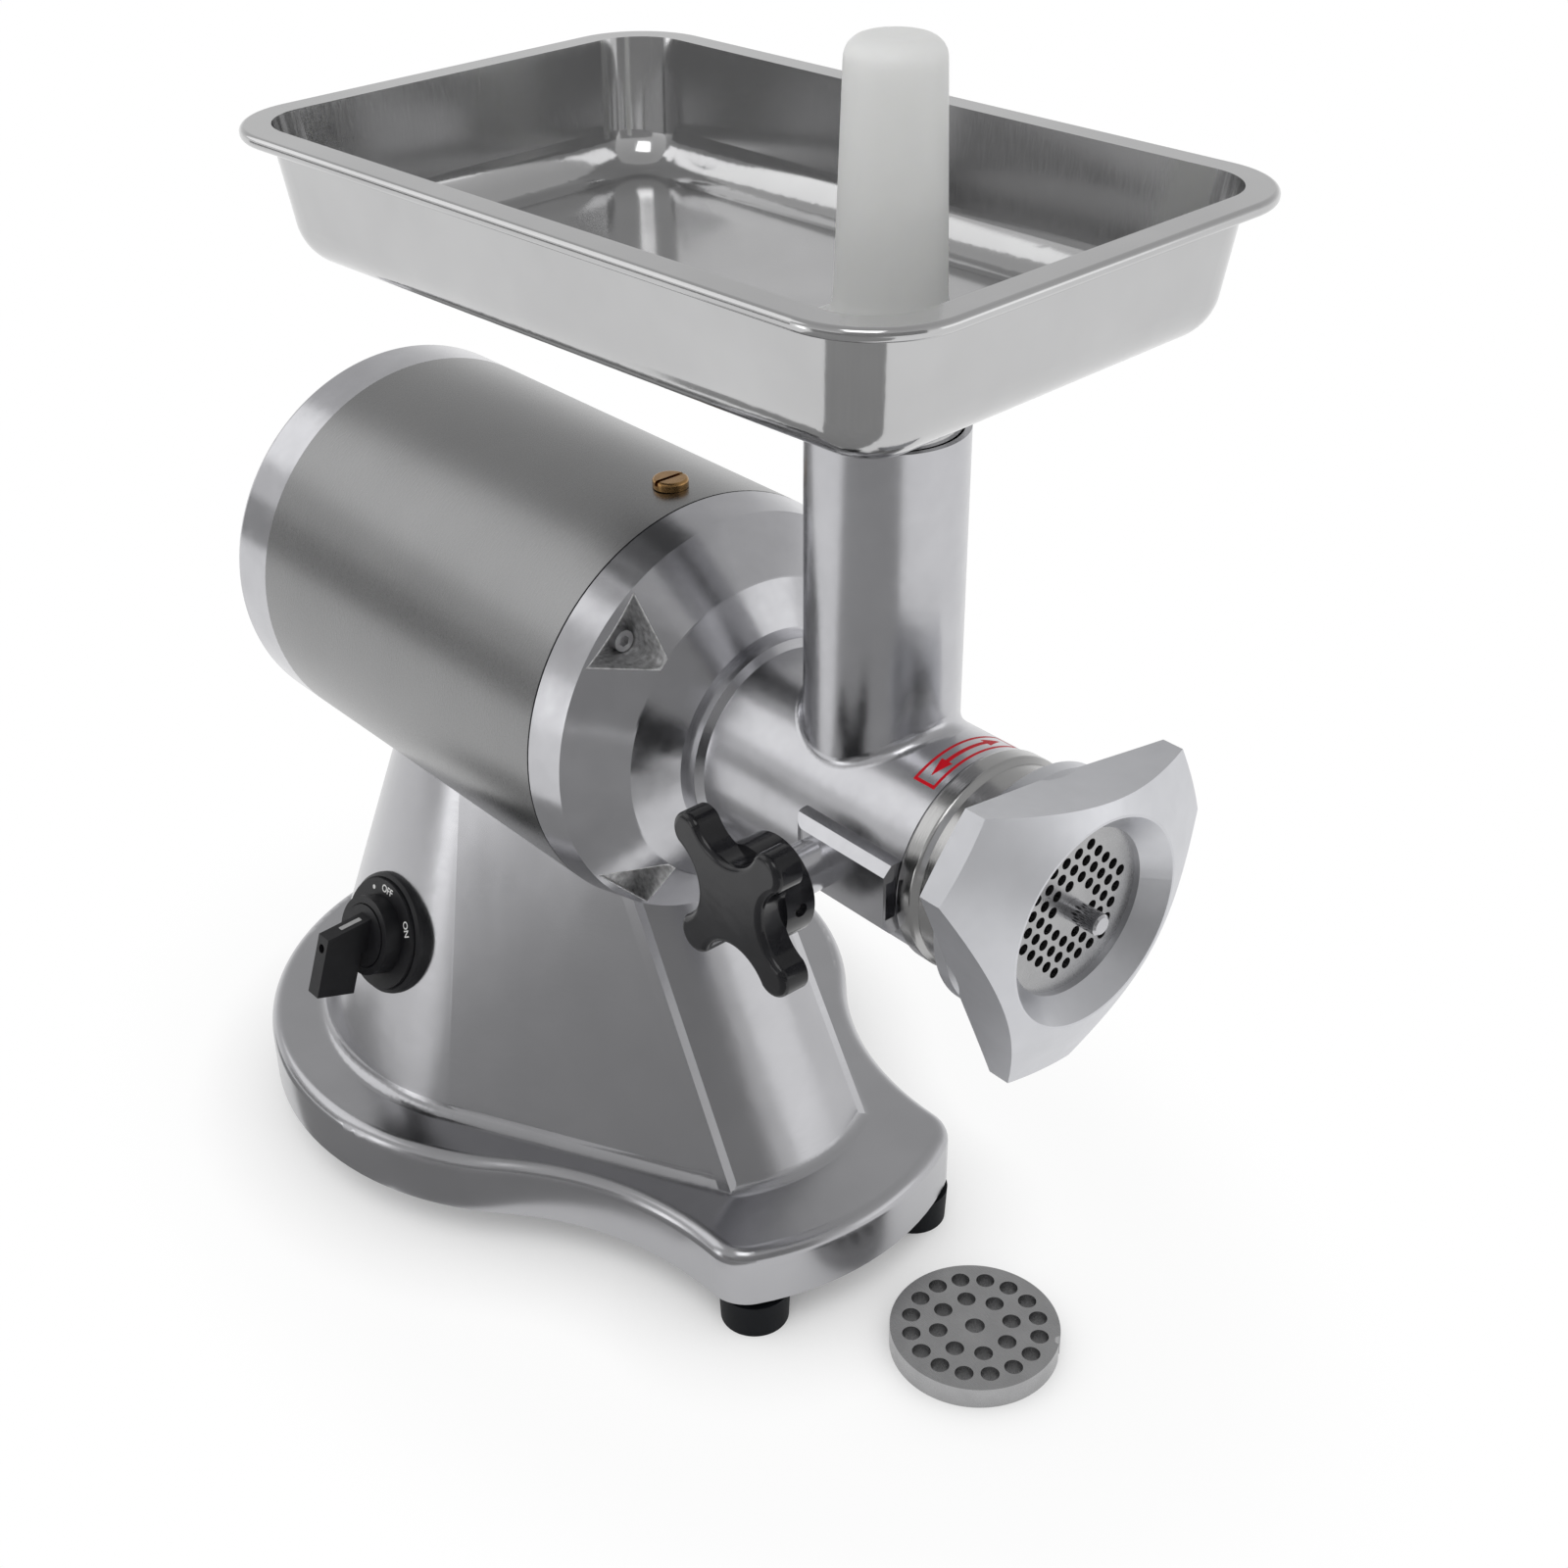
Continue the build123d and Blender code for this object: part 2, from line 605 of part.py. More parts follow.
def make_switch_body():
    """The contact block behind the boss, with its threaded neck."""
    block = switch_plane() * Pos(0, 0, -SWITCH_BOSS_DEPTH - SWITCH_BODY_DEPTH / 2) * Box(
        SWITCH_BODY, SWITCH_BODY, SWITCH_BODY_DEPTH)
    neck = on_switch(SWITCH_NECK_R, -SWITCH_BOSS_DEPTH, 0)
    return block + neck - on_switch(SWITCH_SHAFT_R + RUN, -SWITCH_BOSS_DEPTH / 2, 0)


def make_switch_plate():
    """The round legend plate with its raised collar, hollowed for the turning cap."""
    plate = on_switch(SWITCH_PLATE_R, 0, SWITCH_PLATE_THICKNESS)
    plate = fillet(plate.edges().group_by(SortBy.LENGTH)[-1][-1:], SWITCH_PLATE_THICKNESS / 4)
    collar_top = SWITCH_PLATE_THICKNESS + SWITCH_COLLAR_HEIGHT
    plate += on_switch(SWITCH_COLLAR_R, SWITCH_PLATE_THICKNESS, collar_top)
    plate -= on_switch(SWITCH_CAP_R + FREE, SWITCH_PLATE_THICKNESS, collar_top)
    return plate - on_switch(SWITCH_SHAFT_R + RUN, 0, SWITCH_PLATE_THICKNESS)


def make_switch_knob():
    """The turning cap with its bar handle, pointing up to OFF."""
    base = SWITCH_PLATE_THICKNESS
    cap_top = base + SWITCH_COLLAR_HEIGHT + SWITCH_CAP_PROUD
    top = cap_top + HANDLE_HEIGHT
    rear = HANDLE_TIP - HANDLE_LENGTH
    knob = on_switch(SWITCH_SHAFT_R, -SWITCH_BOSS_DEPTH / 2 + 1, base)
    knob += on_switch(SWITCH_CAP_R, base, cap_top)
    side = Polyline(
        (HANDLE_FOOT, cap_top - HANDLE_LIFT), (HANDLE_FOOT, cap_top), (HANDLE_TIP, top), (rear, top),
        (rear, cap_top + HANDLE_LIFT), (HANDLE_WIDTH - SWITCH_CAP_R, cap_top + HANDLE_LIFT),
        (HANDLE_WIDTH - SWITCH_CAP_R, cap_top - HANDLE_LIFT), close=True)
    bar = extrude(Plane.YZ * make_face(side), amount=HANDLE_WIDTH / 2, both=True)
    bar -= Pos(0, HANDLE_TIP - HANDLE_HOLE_PLACE, top) * Cylinder(HANDLE_HOLE_R, HANDLE_HEIGHT / 2)
    return knob + switch_plane() * bar


def make_cable_gland():
    """The gland that the mains cord would leave by."""
    face_y = gland_face_y()
    gland = rod_y(0, GLAND_Z, GLAND_THREAD_R, face_y - GLAND_BOSS_DEPTH, face_y)
    hexagon = Plane(origin=(0, face_y, GLAND_Z), x_dir=(1, 0, 0), z_dir=(0, 1, 0)) * RegularPolygon(
        GLAND_NUT / 2, 6, major_radius=False)
    gland += extrude(hexagon, amount=GLAND_NUT_HEIGHT)
    nut_y = face_y + GLAND_NUT_HEIGHT
    dome = rod_y(0, GLAND_Z, GLAND_DOME_R, nut_y, nut_y + GLAND_DOME_LENGTH)
    gland += fillet(dome.edges().sort_by(Axis.Y)[-1:], GLAND_DOME_R / 2)
    return gland - rod_y(0, GLAND_Z, GLAND_BORE_R, face_y - GLAND_BOSS_DEPTH, nut_y + GLAND_DOME_LENGTH)


# Motor housing


def make_motor_sleeve():
    """The brushed tube round the motor, with a hole for the oil plug."""
    tube = ring(SLEEVE_R, SLEEVE_BORE_R, 0, SLEEVE_LENGTH)
    return tube - post(0, OIL_PLUG_Y, OIL_PLUG_R + SEAT, AXIS_Z, AXIS_Z + 2 * SLEEVE_R)


def make_gasket():
    """The thin black seal between sleeve and gear cover."""
    return ring(SLEEVE_R - SEAT, SLEEVE_BORE_R, -GASKET, 0)


def make_oil_plug():
    """The slotted brass plug on top of the sleeve."""
    seat_z = AXIS_Z + SLEEVE_R
    plug = post(0, OIL_PLUG_Y, OIL_PLUG_R, seat_z - 2 * SLEEVE_WALL, seat_z)
    head = post(0, OIL_PLUG_Y, OIL_PLUG_HEAD_R, seat_z + SEAT, seat_z + SEAT + OIL_PLUG_HEAD)
    head = fillet(head.edges().sort_by(Axis.Z)[-1:], OIL_PLUG_HEAD / 3)
    head += post(0, OIL_PLUG_Y, OIL_PLUG_R, seat_z, seat_z + SEAT)
    slot = Pos(0, OIL_PLUG_Y, seat_z + OIL_PLUG_HEAD) * Box(
        2 * OIL_PLUG_HEAD_R, OIL_PLUG_SLOT, OIL_PLUG_HEAD)
    return plug + head - slot


def make_rear_cap():
    """The rear end casting with its bearing hub and cooling slots."""
    inner_y = CAP_REAR_Y - CAP_WALL
    cap = turned([
        (0, CAP_REAR_Y), (SLEEVE_R, CAP_REAR_Y), (SLEEVE_R, SLEEVE_LENGTH),
        (SLEEVE_BORE_R - SEAT, SLEEVE_LENGTH), (SLEEVE_BORE_R - SEAT, SLEEVE_LENGTH - CAP_SPIGOT),
        (SLEEVE_BORE_R - CAP_WALL, SLEEVE_LENGTH - CAP_SPIGOT), (SLEEVE_BORE_R - CAP_WALL, inner_y),
        (CAP_HUB_R, inner_y), (CAP_HUB_R, SHAFT_REAR_Y - MOTOR_BEARING), (0, SHAFT_REAR_Y - MOTOR_BEARING),
    ])
    rim = cap.edges().filter_by(GeomType.CIRCLE).sort_by(Axis.Y)[-1:]
    cap = fillet(rim, CAP_EDGE_R)
    cap -= ring(MOTOR_BEARING_R + SEAT, 0, SHAFT_REAR_Y - MOTOR_BEARING, SHAFT_REAR_Y + SEAT)
    slot = on_axis(Pos(CAP_VENT_CIRCLE_R, 0) * SlotOverall(CAP_VENT_LENGTH, CAP_VENT_WIDTH),
                   inner_y, CAP_REAR_Y)
    cap -= around_axis(slot, CAP_VENTS)
    hole = rod_y(CAP_SCREW_CIRCLE_R, AXIS_Z, COVER_SCREW_R + SEAT, inner_y, CAP_REAR_Y)
    return cap - around_axis(hole, CAP_SCREWS, 45)


def make_rear_cap_screws():
    """Bevelled screws in the rear face."""
    inner_y = CAP_REAR_Y - CAP_WALL
    shank = rod_y(CAP_SCREW_CIRCLE_R, AXIS_Z, COVER_SCREW_R, inner_y, CAP_REAR_Y)
    head = rod_y(CAP_SCREW_CIRCLE_R, AXIS_Z, COVER_SCREW_HEAD_R, CAP_REAR_Y,
                 CAP_REAR_Y + COVER_SCREW_HEAD_HEIGHT / 2)
    head = chamfer(head.edges().sort_by(Axis.Y)[-1:], CAP_SCREW_BEVEL)
    return around_axis(shank + head, CAP_SCREWS, 45)


# Gear cover and neck


def pocket(margin, floor_y):
    """A three-cornered prism for a cover screw, pointing along +X, widened by a margin."""
    corner_x, corner_z = at_angle(POCKET_OUTER_R, POCKET_HALF_ANGLE)
    outline = make_face(Polyline((POCKET_INNER_R, 0), (corner_x, -corner_z), (corner_x, corner_z), close=True))
    if margin:
        outline = offset(outline, margin, kind=Kind.INTERSECTION)
    else:
        outline = fillet(outline.vertices().sort_by(Axis.X)[:1], POCKET_CORNER_R)
    return on_axis(outline, COVER_FRONT_Y, floor_y)


def make_gear_cover():
    """The front casting of the gearbox: band, cone, boss and four screw pockets."""
    cover = turned([
        (0, COVER_SPIGOT), (SLEEVE_BORE_R - SEAT, COVER_SPIGOT), (SLEEVE_BORE_R - SEAT, -GASKET),
        (SLEEVE_R, -GASKET), (BAND_FRONT_R, -BAND_LENGTH), (CONE_FRONT_R, CONE_FRONT_Y),
        (COVER_FRONT_R, COVER_FRONT_Y), (0, COVER_FRONT_Y),
    ])
    edge = cover.edges().filter_by(GeomType.CIRCLE).filter_by(
        lambda e: abs(e.radius - CONE_FRONT_R) < 0.01)
    cover = fillet(edge, COVER_RIDGE_R)
    wall = COVER_WALL
    cavity = turned([
        (0, COVER_SPIGOT), (COVER_CAVITY_R, COVER_SPIGOT), (COVER_CAVITY_R, -BAND_LENGTH + wall / 3),
        (CONE_FRONT_R - wall / 2, COVER_CAVITY_FRONT), (0, COVER_CAVITY_FRONT),
    ])
    boss = rod_y(COVER_SCREW_CIRCLE_R, AXIS_Z, COVER_SCREW_BOSS_R, POCKET_FLOOR - wall, COVER_SPIGOT)
    pocket_wall = pocket(POCKET_WALL, POCKET_FLOOR + POCKET_WALL)
    turns = 180 / COVER_SCREW_COUNT
    cavity -= around_axis(boss, COVER_SCREW_COUNT, turns)
    cavity -= around_axis(pocket_wall, COVER_SCREW_COUNT, turns)
    cover -= cavity
    cover -= around_axis(pocket(0, POCKET_FLOOR), COVER_SCREW_COUNT, turns)
    hole = rod_y(COVER_SCREW_CIRCLE_R, AXIS_Z, COVER_SCREW_R + SEAT, POCKET_FLOOR, COVER_SPIGOT)
    cover -= around_axis(hole, COVER_SCREW_COUNT, turns)
    cover -= rod_y(0, AXIS_Z, NECK_SPIGOT_R + SEAT, COVER_FRONT_Y, COVER_CAVITY_FRONT)
    bush_seat = rod_y(0, AXIS_Z - LAY_OFFSET, LAY_BUSH_R + SEAT, COVER_CAVITY_FRONT - LAY_BUSH, COVER_CAVITY_FRONT)
    return cover - bush_seat


def make_cover_screws():
    """Socket-head screws in the pockets, reaching into the motor end plate."""
    head = rod_y(COVER_SCREW_CIRCLE_R, AXIS_Z, COVER_SCREW_HEAD_R,
                 POCKET_FLOOR - COVER_SCREW_HEAD_HEIGHT, POCKET_FLOOR)
    socket = on_axis(Pos(COVER_SCREW_CIRCLE_R, 0) * RegularPolygon(HEX_KEY / 2, 6, major_radius=False),
                     POCKET_FLOOR - COVER_SCREW_HEAD_HEIGHT, POCKET_FLOOR - COVER_SCREW_HEAD_HEIGHT / 2)
    shank = rod_y(COVER_SCREW_CIRCLE_R, AXIS_Z, COVER_SCREW_R, POCKET_FLOOR, END_PLATE_Y + END_PLATE)
    return around_axis(head - socket + shank, COVER_SCREW_COUNT, 180 / COVER_SCREW_COUNT)


def make_neck():
    """The neck casting: barrel housing, feed tube, clamp block and clamp boss."""
    rear_y = COVER_CAVITY_FRONT
    body = turned([
        (0, rear_y), (NECK_SPIGOT_R, rear_y), (NECK_SPIGOT_R, COVER_FRONT_Y), (NECK_STEP_R, COVER_FRONT_Y),
        (NECK_STEP_R, COVER_FRONT_Y - NECK_STEP_LENGTH), (NECK_R, COVER_FRONT_Y - NECK_STEP_LENGTH - 2),
        (NECK_R, NECK_FRONT_Y), (0, NECK_FRONT_Y),
    ])
    tube = post(0, FEED_Y, FEED_R, AXIS_Z, FEED_TOP_Z)
    joined = body + tube
    joint_edges = joined.edges().filter_by(GeomType.BSPLINE)
    body = fillet(joint_edges, FEED_FOOT_R)
    block_length = BLOCK_REAR_Y - NECK_FRONT_Y
    block = Pos(BLOCK_X / 2, (BLOCK_REAR_Y + NECK_FRONT_Y) / 2, AXIS_Z) * Box(
        -BLOCK_X, block_length, 2 * BLOCK_HALF_HEIGHT)
    long_edges = block.edges().filter_by(Axis.Y).group_by(Axis.X)[0]
    block = chamfer(long_edges, BLOCK_HALF_HEIGHT / 4)
    rear_edge = block.edges().group_by(Axis.Y)[-1].group_by(Axis.X)[0].filter_by(Axis.Z)
    block = fillet(rear_edge, BLOCK_HALF_HEIGHT / 2)
    body += block
    body += rod_x(CLAMP_Y, AXIS_Z, CLAMP_BOSS_R, CLAMP_BOSS_X, BLOCK_X / 2)
    body -= ring(BARREL_R + FREE, 0, NECK_FRONT_Y, NECK_REAR_WALL_Y)
    body -= ring(SEAL_R + SEAT, 0, NECK_REAR_WALL_Y, NECK_REAR_WALL_Y + SEAL)
    body -= ring(OUTPUT_SHAFT_R + FREE, 0, NECK_REAR_WALL_Y, rear_y)
    body -= ring(OUTPUT_BEARING_R + SEAT, 0, rear_y - OUTPUT_BEARING, rear_y)
    body -= post(0, FEED_Y, FEED_BORE_R, AXIS_Z, FEED_TOP_Z)
    body -= rod_x(CLAMP_Y, AXIS_Z, STUD_R + RUN, CLAMP_BOSS_X, 0)
    slot = Pos(SLOT_X, NECK_FRONT_Y + SLOT_DEPTH / 2, AXIS_Z) * Box(SLOT_WIDTH, SLOT_DEPTH, SLOT_HEIGHT)
    return body - slot


# Mincing head


def make_barrel():
    """The pull-out barrel: tube, feed window, collar and the nose that carries the ring nut."""
    barrel = turned([
        (BARREL_BORE_R, BARREL_REAR_Y), (BARREL_R, BARREL_REAR_Y), (BARREL_R, NECK_FRONT_Y),
        (COLLAR_R, NECK_FRONT_Y), (COLLAR_R, NECK_FRONT_Y - COLLAR_LENGTH),
        (THROAT_R, NECK_FRONT_Y - COLLAR_LENGTH - COLLAR_BEAD_R), (THROAT_R, NOSE_Y), (NOSE_R, NOSE_Y),
        (NOSE_R, NOSE_FRONT_Y), (PLATE_R + SEAT, NOSE_FRONT_Y), (PLATE_R + SEAT, PLATE_BACK_Y),
        (BARREL_BORE_R, PLATE_BACK_Y),
    ])
    bead = barrel.edges().filter_by(GeomType.CIRCLE).filter_by(lambda e: abs(e.radius - COLLAR_R) < 0.01)
    barrel = fillet(bead, COLLAR_BEAD_R)
    barrel -= post(0, FEED_Y, WINDOW_R, AXIS_Z, AXIS_Z + 2 * BARREL_R)
    return barrel - rod_y(0, AXIS_Z + PLATE_R, KEY_R + SEAT / 2, NOSE_FRONT_Y, PLATE_BACK_Y)


def make_plate_key():
    """The small pin that keeps the plate from turning."""
    return rod_y(0, AXIS_Z + PLATE_R, KEY_R, NOSE_FRONT_Y, PLATE_BACK_Y)


def plate_blank():
    """A cutting plate without its cutting holes, drawn flat with the notch at the top."""
    return Circle(PLATE_R) - Circle(PIN_R + RUN) - Pos(0, PLATE_R) * Circle(NOTCH_R)


def fine_hole_places():
    """Centres of a six-sided field of holes, without the middle ones."""
    places = []
    steps = range(-FINE_SIDE, FINE_SIDE + 1)
    for i in steps:
        for j in steps:
            ring_number = max(abs(i), abs(j), abs(i + j))
            if 1 < ring_number <= FINE_SIDE:
                places.append(((i + j / 2) * FINE_HOLE_PITCH, j * FINE_HOLE_PITCH * sqrt(3) / 2))
    return places


def make_fine_plate():
    """The plate in use, with a field of small holes."""
    holes = [Rot(0, 0, FINE_TURN) * Pos(x, y) * Circle(FINE_HOLE_R) for x, y in fine_hole_places()]
    flat = plate_blank() - holes
    return on_axis(flat, PLATE_FACE_Y, PLATE_BACK_Y)


def make_spare_plate():
    """The coarse plate that lies in front of the machine."""
    flat = plate_blank()
    flat -= PolarLocations(COARSE_OUTER_R, COARSE_OUTER_COUNT, 90) * Circle(COARSE_HOLE_R)
    flat -= PolarLocations(COARSE_INNER_R, COARSE_INNER_COUNT, 90 + 180 / COARSE_INNER_COUNT) * Circle(COARSE_HOLE_R)
    return Pos(SPARE_X, SPARE_Y, 0) * Rot(0, 0, SPARE_TURN) * extrude(flat, amount=PLATE_THICKNESS)


def make_feed_screw():
    """The worm: tang, rear disc, core, helical flight, square for the knife and front pin."""
    flight_r = BARREL_BORE_R - FREE
    square_y = KNIFE_BACK_Y + 1
    disc_y = SCREW_REAR_Y - SCREW_DISC
    outer = CenterArc((0, 0), flight_r, -FLIGHT_SECTOR / 2, FLIGHT_SECTOR)
    inner = CenterArc((0, 0), SCREW_CORE_R - 1, -FLIGHT_SECTOR / 2, FLIGHT_SECTOR)
    sector = make_face([outer, inner, Line(outer @ 0, inner @ 0), Line(outer @ 1, inner @ 1)])
    length = disc_y - square_y
    flight = Solid.extrude_linear_with_rotation(
        sector.face(), center=(0, 0, 0), normal=(0, 0, length), angle=-360 * length / FLIGHT_PITCH)
    screw = ring(SCREW_CORE_R, 0, square_y, disc_y)
    screw += Pos(0, square_y, AXIS_Z) * Rot(-90, 0, 0) * flight
    screw += ring(flight_r - FREE / 2, 0, disc_y, SCREW_REAR_Y)
    screw += on_axis(Rectangle(TANG, TANG), SCREW_REAR_Y, TANG_REAR_Y)
    screw += on_axis(Rectangle(KNIFE_SQUARE, KNIFE_SQUARE), PLATE_BACK_Y + 0.5, square_y)
    pin = ring(PIN_R, 0, PIN_END_Y, PLATE_BACK_Y + 1)
    tip = pin.edges().sort_by(Axis.Y)[:1]
    return screw + chamfer(tip, PIN_R / 5)


def make_knife():
    """The cross knife that runs on the back of the plate."""
    flat = Circle(KNIFE_HUB_R)
    for index in range(KNIFE_ARMS):
        arm = Pos(KNIFE_TIP_R / 2, KNIFE_ARM / 5) * Rectangle(KNIFE_TIP_R, KNIFE_ARM)
        flat += Rot(0, 0, 360 * index / KNIFE_ARMS) * arm
    flat &= Circle(KNIFE_TIP_R)
    flat -= Rectangle(KNIFE_SQUARE + SEAT, KNIFE_SQUARE + SEAT)
    return on_axis(flat, PLATE_BACK_Y, KNIFE_BACK_Y)


def nut_outline():
    """Three cut-off corners joined by hollow sides."""
    edges = []
    step = 360 / NUT_GRIP_COUNT
    for index in range(NUT_GRIP_COUNT):
        angle = NUT_GRIP_ANGLE + index * step
        start = at_angle(NUT_GRIP_R, angle - NUT_GRIP_HALF_ANGLE)
        end = at_angle(NUT_GRIP_R, angle + NUT_GRIP_HALF_ANGLE)
        side = at_angle(NUT_SIDE_R, angle + step / 2)
        after = at_angle(NUT_GRIP_R, angle + step - NUT_GRIP_HALF_ANGLE)
        edges.append(Line(start, end))
        edges.append(ThreePointArc(end, side, after))
    return make_face(edges)


def make_ring_nut():
    """The ring nut: hub, three grips and a dished mouth that holds the plate."""
    reach = NUT_GRIP_R + 2
    dome = turned([
        (0, NUT_MOUTH_Y), (NUT_MOUTH_R, NUT_MOUTH_Y), (reach, NUT_EDGE_Y), (reach, NUT_WING_REAR_Y - 4),
        (NUT_HUB_R, NUT_WING_REAR_Y), (0, NUT_WING_REAR_Y),
    ])
    nut = on_axis(nut_outline(), NUT_MOUTH_Y, NUT_WING_REAR_Y) & dome
    nut += turned([
        (0, NUT_WING_REAR_Y - 4), (NUT_HUB_R - 2, NUT_WING_REAR_Y - 4), (NUT_HUB_R, NUT_WING_REAR_Y),
        (NUT_HUB_R, NUT_REAR_Y - 3), (NUT_HUB_R - 3, NUT_REAR_Y), (0, NUT_REAR_Y),
    ])
    nut -= ring(NOSE_R + FREE, 0, PLATE_FACE_Y, NUT_REAR_Y)
    lip_y = PLATE_FACE_Y - NUT_LIP
    nut -= turned([
        (0, PLATE_FACE_Y), (NUT_LIP_R, PLATE_FACE_Y), (NUT_LIP_R, lip_y), (NUT_MOUTH_R - 1, NUT_MOUTH_Y),
        (0, NUT_MOUTH_Y),
    ])
    return nut


# Clamp


def make_clamp_pad():
    """The brass pad between stud and barrel, which slides and doesn't turn."""
    return rod_x(CLAMP_Y, AXIS_Z, STUD_R, STUD_TIP_X, STUD_TIP_X + PAD_LENGTH)


def make_clamp_stud():
    """The threaded stud that the knob turns."""
    return rod_x(CLAMP_Y, AXIS_Z, STUD_R, KNOB_REAR_X - KNOB_HUB_LENGTH, STUD_TIP_X)


def make_star_knob():
    """The four-lobed knob with its hub and cross hole."""
    edges = []
    step = 360 / KNOB_LOBES
    for index in range(KNOB_LOBES):
        turn = Rot(0, 0, KNOB_TURN + index * step)
        edges.append(turn * CenterArc((KNOB_LOBE_CIRCLE_R, 0), KNOB_LOBE_R, -90, 180))
        hollow = at_angle(KNOB_WAIST_R, step / 2)
        edges.append(turn * ThreePointArc(
            (KNOB_LOBE_CIRCLE_R, KNOB_LOBE_R), hollow, (KNOB_LOBE_R, KNOB_LOBE_CIRCLE_R)))
    flat = make_face(edges)
    star = extrude(flat, amount=KNOB_THICKNESS)
    star = fillet(star.edges().group_by(Axis.Z)[-1], KNOB_ROUND)
    hub = Cylinder(KNOB_HUB_R, KNOB_HUB_LENGTH, align=(Align.CENTER, Align.CENTER, Align.MAX))
    hub -= Cylinder(STUD_R + SEAT, KNOB_HUB_LENGTH, align=(Align.CENTER, Align.CENTER, Align.MAX))
    hub -= Pos(0, 0, -KNOB_HUB_LENGTH / 2) * Rot(0, 90, 0) * Cylinder(KNOB_HOLE_R, 4 * KNOB_HUB_R)
    frame = Plane(origin=(KNOB_REAR_X - KNOB_HUB_LENGTH, CLAMP_Y, AXIS_Z), x_dir=(0, 1, 0), z_dir=(-1, 0, 0))
    return frame * (star + hub)


def make_knob_pin():
    """The cross pin that locks the knob to its stud."""
    x = KNOB_REAR_X - KNOB_HUB_LENGTH / 2
    pins = rod_y(x, AXIS_Z, KNOB_HOLE_R - SEAT, CLAMP_Y - KNOB_HUB_R + 3, CLAMP_Y - STUD_R - SEAT)
    return pins


# Tray and pusher


def tray_spread(distance, radius):
    """Tray outline drawn in from the rim by a distance, about the tray's centre."""
    return RectangleRounded(TRAY_WIDTH - 2 * distance, TRAY_LENGTH - 2 * distance, radius)


def tray_pan(skin):
    """The drafted pan drawn in by a skin, as a solid."""
    radius = TRAY_CORNER_R - TRAY_RIM - skin
    top = Pos(0, 0, TRAY_RIM_Z) * tray_spread(TRAY_RIM + skin, radius)
    bottom = Pos(0, 0, TRAY_FLOOR_Z + skin) * tray_spread(TRAY_RIM + TRAY_DRAFT + skin, radius)
    pan = loft([bottom, top])
    return fillet(pan.edges().group_by(Axis.Z)[0], TRAY_FLOOR_R - skin)


def make_tray():
    """The pressed tray with its rolled rim and the spout that plugs into the feed tube."""
    rim = extrude(Pos(0, 0, TRAY_RIM_Z - TRAY_RIM_HEIGHT) * tray_spread(0, TRAY_CORNER_R), amount=TRAY_RIM_HEIGHT)
    outer = rim.edges().group_by(Axis.Z)[0] + rim.edges().group_by(Axis.Z)[-1]
    rim = fillet(outer, TRAY_RIM_ROUND)
    tray = rim + tray_pan(0) - tray_pan(TRAY_SHEET)
    feed = Pos(0, TRAY_CENTRE_Y, 0)
    spout_low = FEED_TOP_Z - SPOUT_DEPTH
    turn = Pos(0, FEED_Y, 0) * Rot(0, 0, TRAY_TURN) * Pos(0, -FEED_Y, 0)
    tray = turn * feed * tray
    tray += post(0, FEED_Y, SPOUT_R, spout_low, TRAY_FLOOR_Z + TRAY_SHEET)
    return tray - post(0, FEED_Y, SPOUT_R - SPOUT_WALL, spout_low, TRAY_FLOOR_Z + TRAY_SHEET)


def make_pusher():
    """The plastic pusher: plunger, collar that rests on the tray, flare, tapered grip."""
    floor = TRAY_FLOOR_Z + TRAY_SHEET
    low = floor - PUSHER_LENGTH
    flare_low = floor + PUSHER_COLLAR
    flare_top = flare_low + PUSHER_FLARE
    bow = 0.3
    edges = [
        Polyline((0, low), (PUSHER_R, low), (PUSHER_R, floor), (PUSHER_COLLAR_R, floor), (PUSHER_COLLAR_R, flare_low)),
        ThreePointArc(
            (PUSHER_COLLAR_R, flare_low),
            (PUSHER_GRIP_R + bow * (PUSHER_COLLAR_R - PUSHER_GRIP_R), flare_low + bow * PUSHER_FLARE),
            (PUSHER_GRIP_R, flare_top)),
        Polyline((PUSHER_GRIP_R, flare_top), (PUSHER_TOP_R, PUSHER_TOP_Z), (0, PUSHER_TOP_Z), (0, low)),
    ]
    profile = Plane.XZ * make_face(edges)
    pusher = revolve(profile, Axis.Z)
    pusher = fillet(pusher.edges().sort_by(Axis.Z)[-1:], PUSHER_TOP_ROUND)
    return Pos(0, FEED_Y, 0) * pusher


# Motor


def make_end_plate():
    """The plate between motor and gearbox, with seats for the shaft bearing and the lay bush."""
    rear_y = END_PLATE_Y + END_PLATE
    plate = ring(SLEEVE_BORE_R - SEAT, SHAFT_R + FREE, END_PLATE_Y, rear_y)
    plate -= ring(MOTOR_BEARING_R + SEAT, 0, rear_y - MOTOR_BEARING, rear_y)
    plate -= rod_y(0, AXIS_Z - LAY_OFFSET, LAY_BUSH_R + SEAT, END_PLATE_Y, END_PLATE_Y + LAY_BUSH)
    hole = rod_y(COVER_SCREW_CIRCLE_R, AXIS_Z, COVER_SCREW_R + SEAT, END_PLATE_Y, rear_y)
    plate -= around_axis(hole, COVER_SCREW_COUNT, 180 / COVER_SCREW_COUNT)
    return plate - post(0, OIL_PLUG_Y, OIL_PLUG_R + SEAT, AXIS_Z + SLEEVE_R - 3 * SLEEVE_WALL, AXIS_Z + SLEEVE_R)


def make_motor_frame():
    """The slotted ring that holds the stator in the sleeve."""
    front_y = CORE_REAR_Y - CORE_LENGTH
    frame = ring(SLEEVE_BORE_R - SEAT, STATOR_R + SEAT, front_y, CORE_REAR_Y)
    vent = rod_y(FRAME_VENT_CIRCLE_R, AXIS_Z, FRAME_VENT_R, front_y, CORE_REAR_Y)
    return frame - around_axis(vent, FRAME_VENTS)


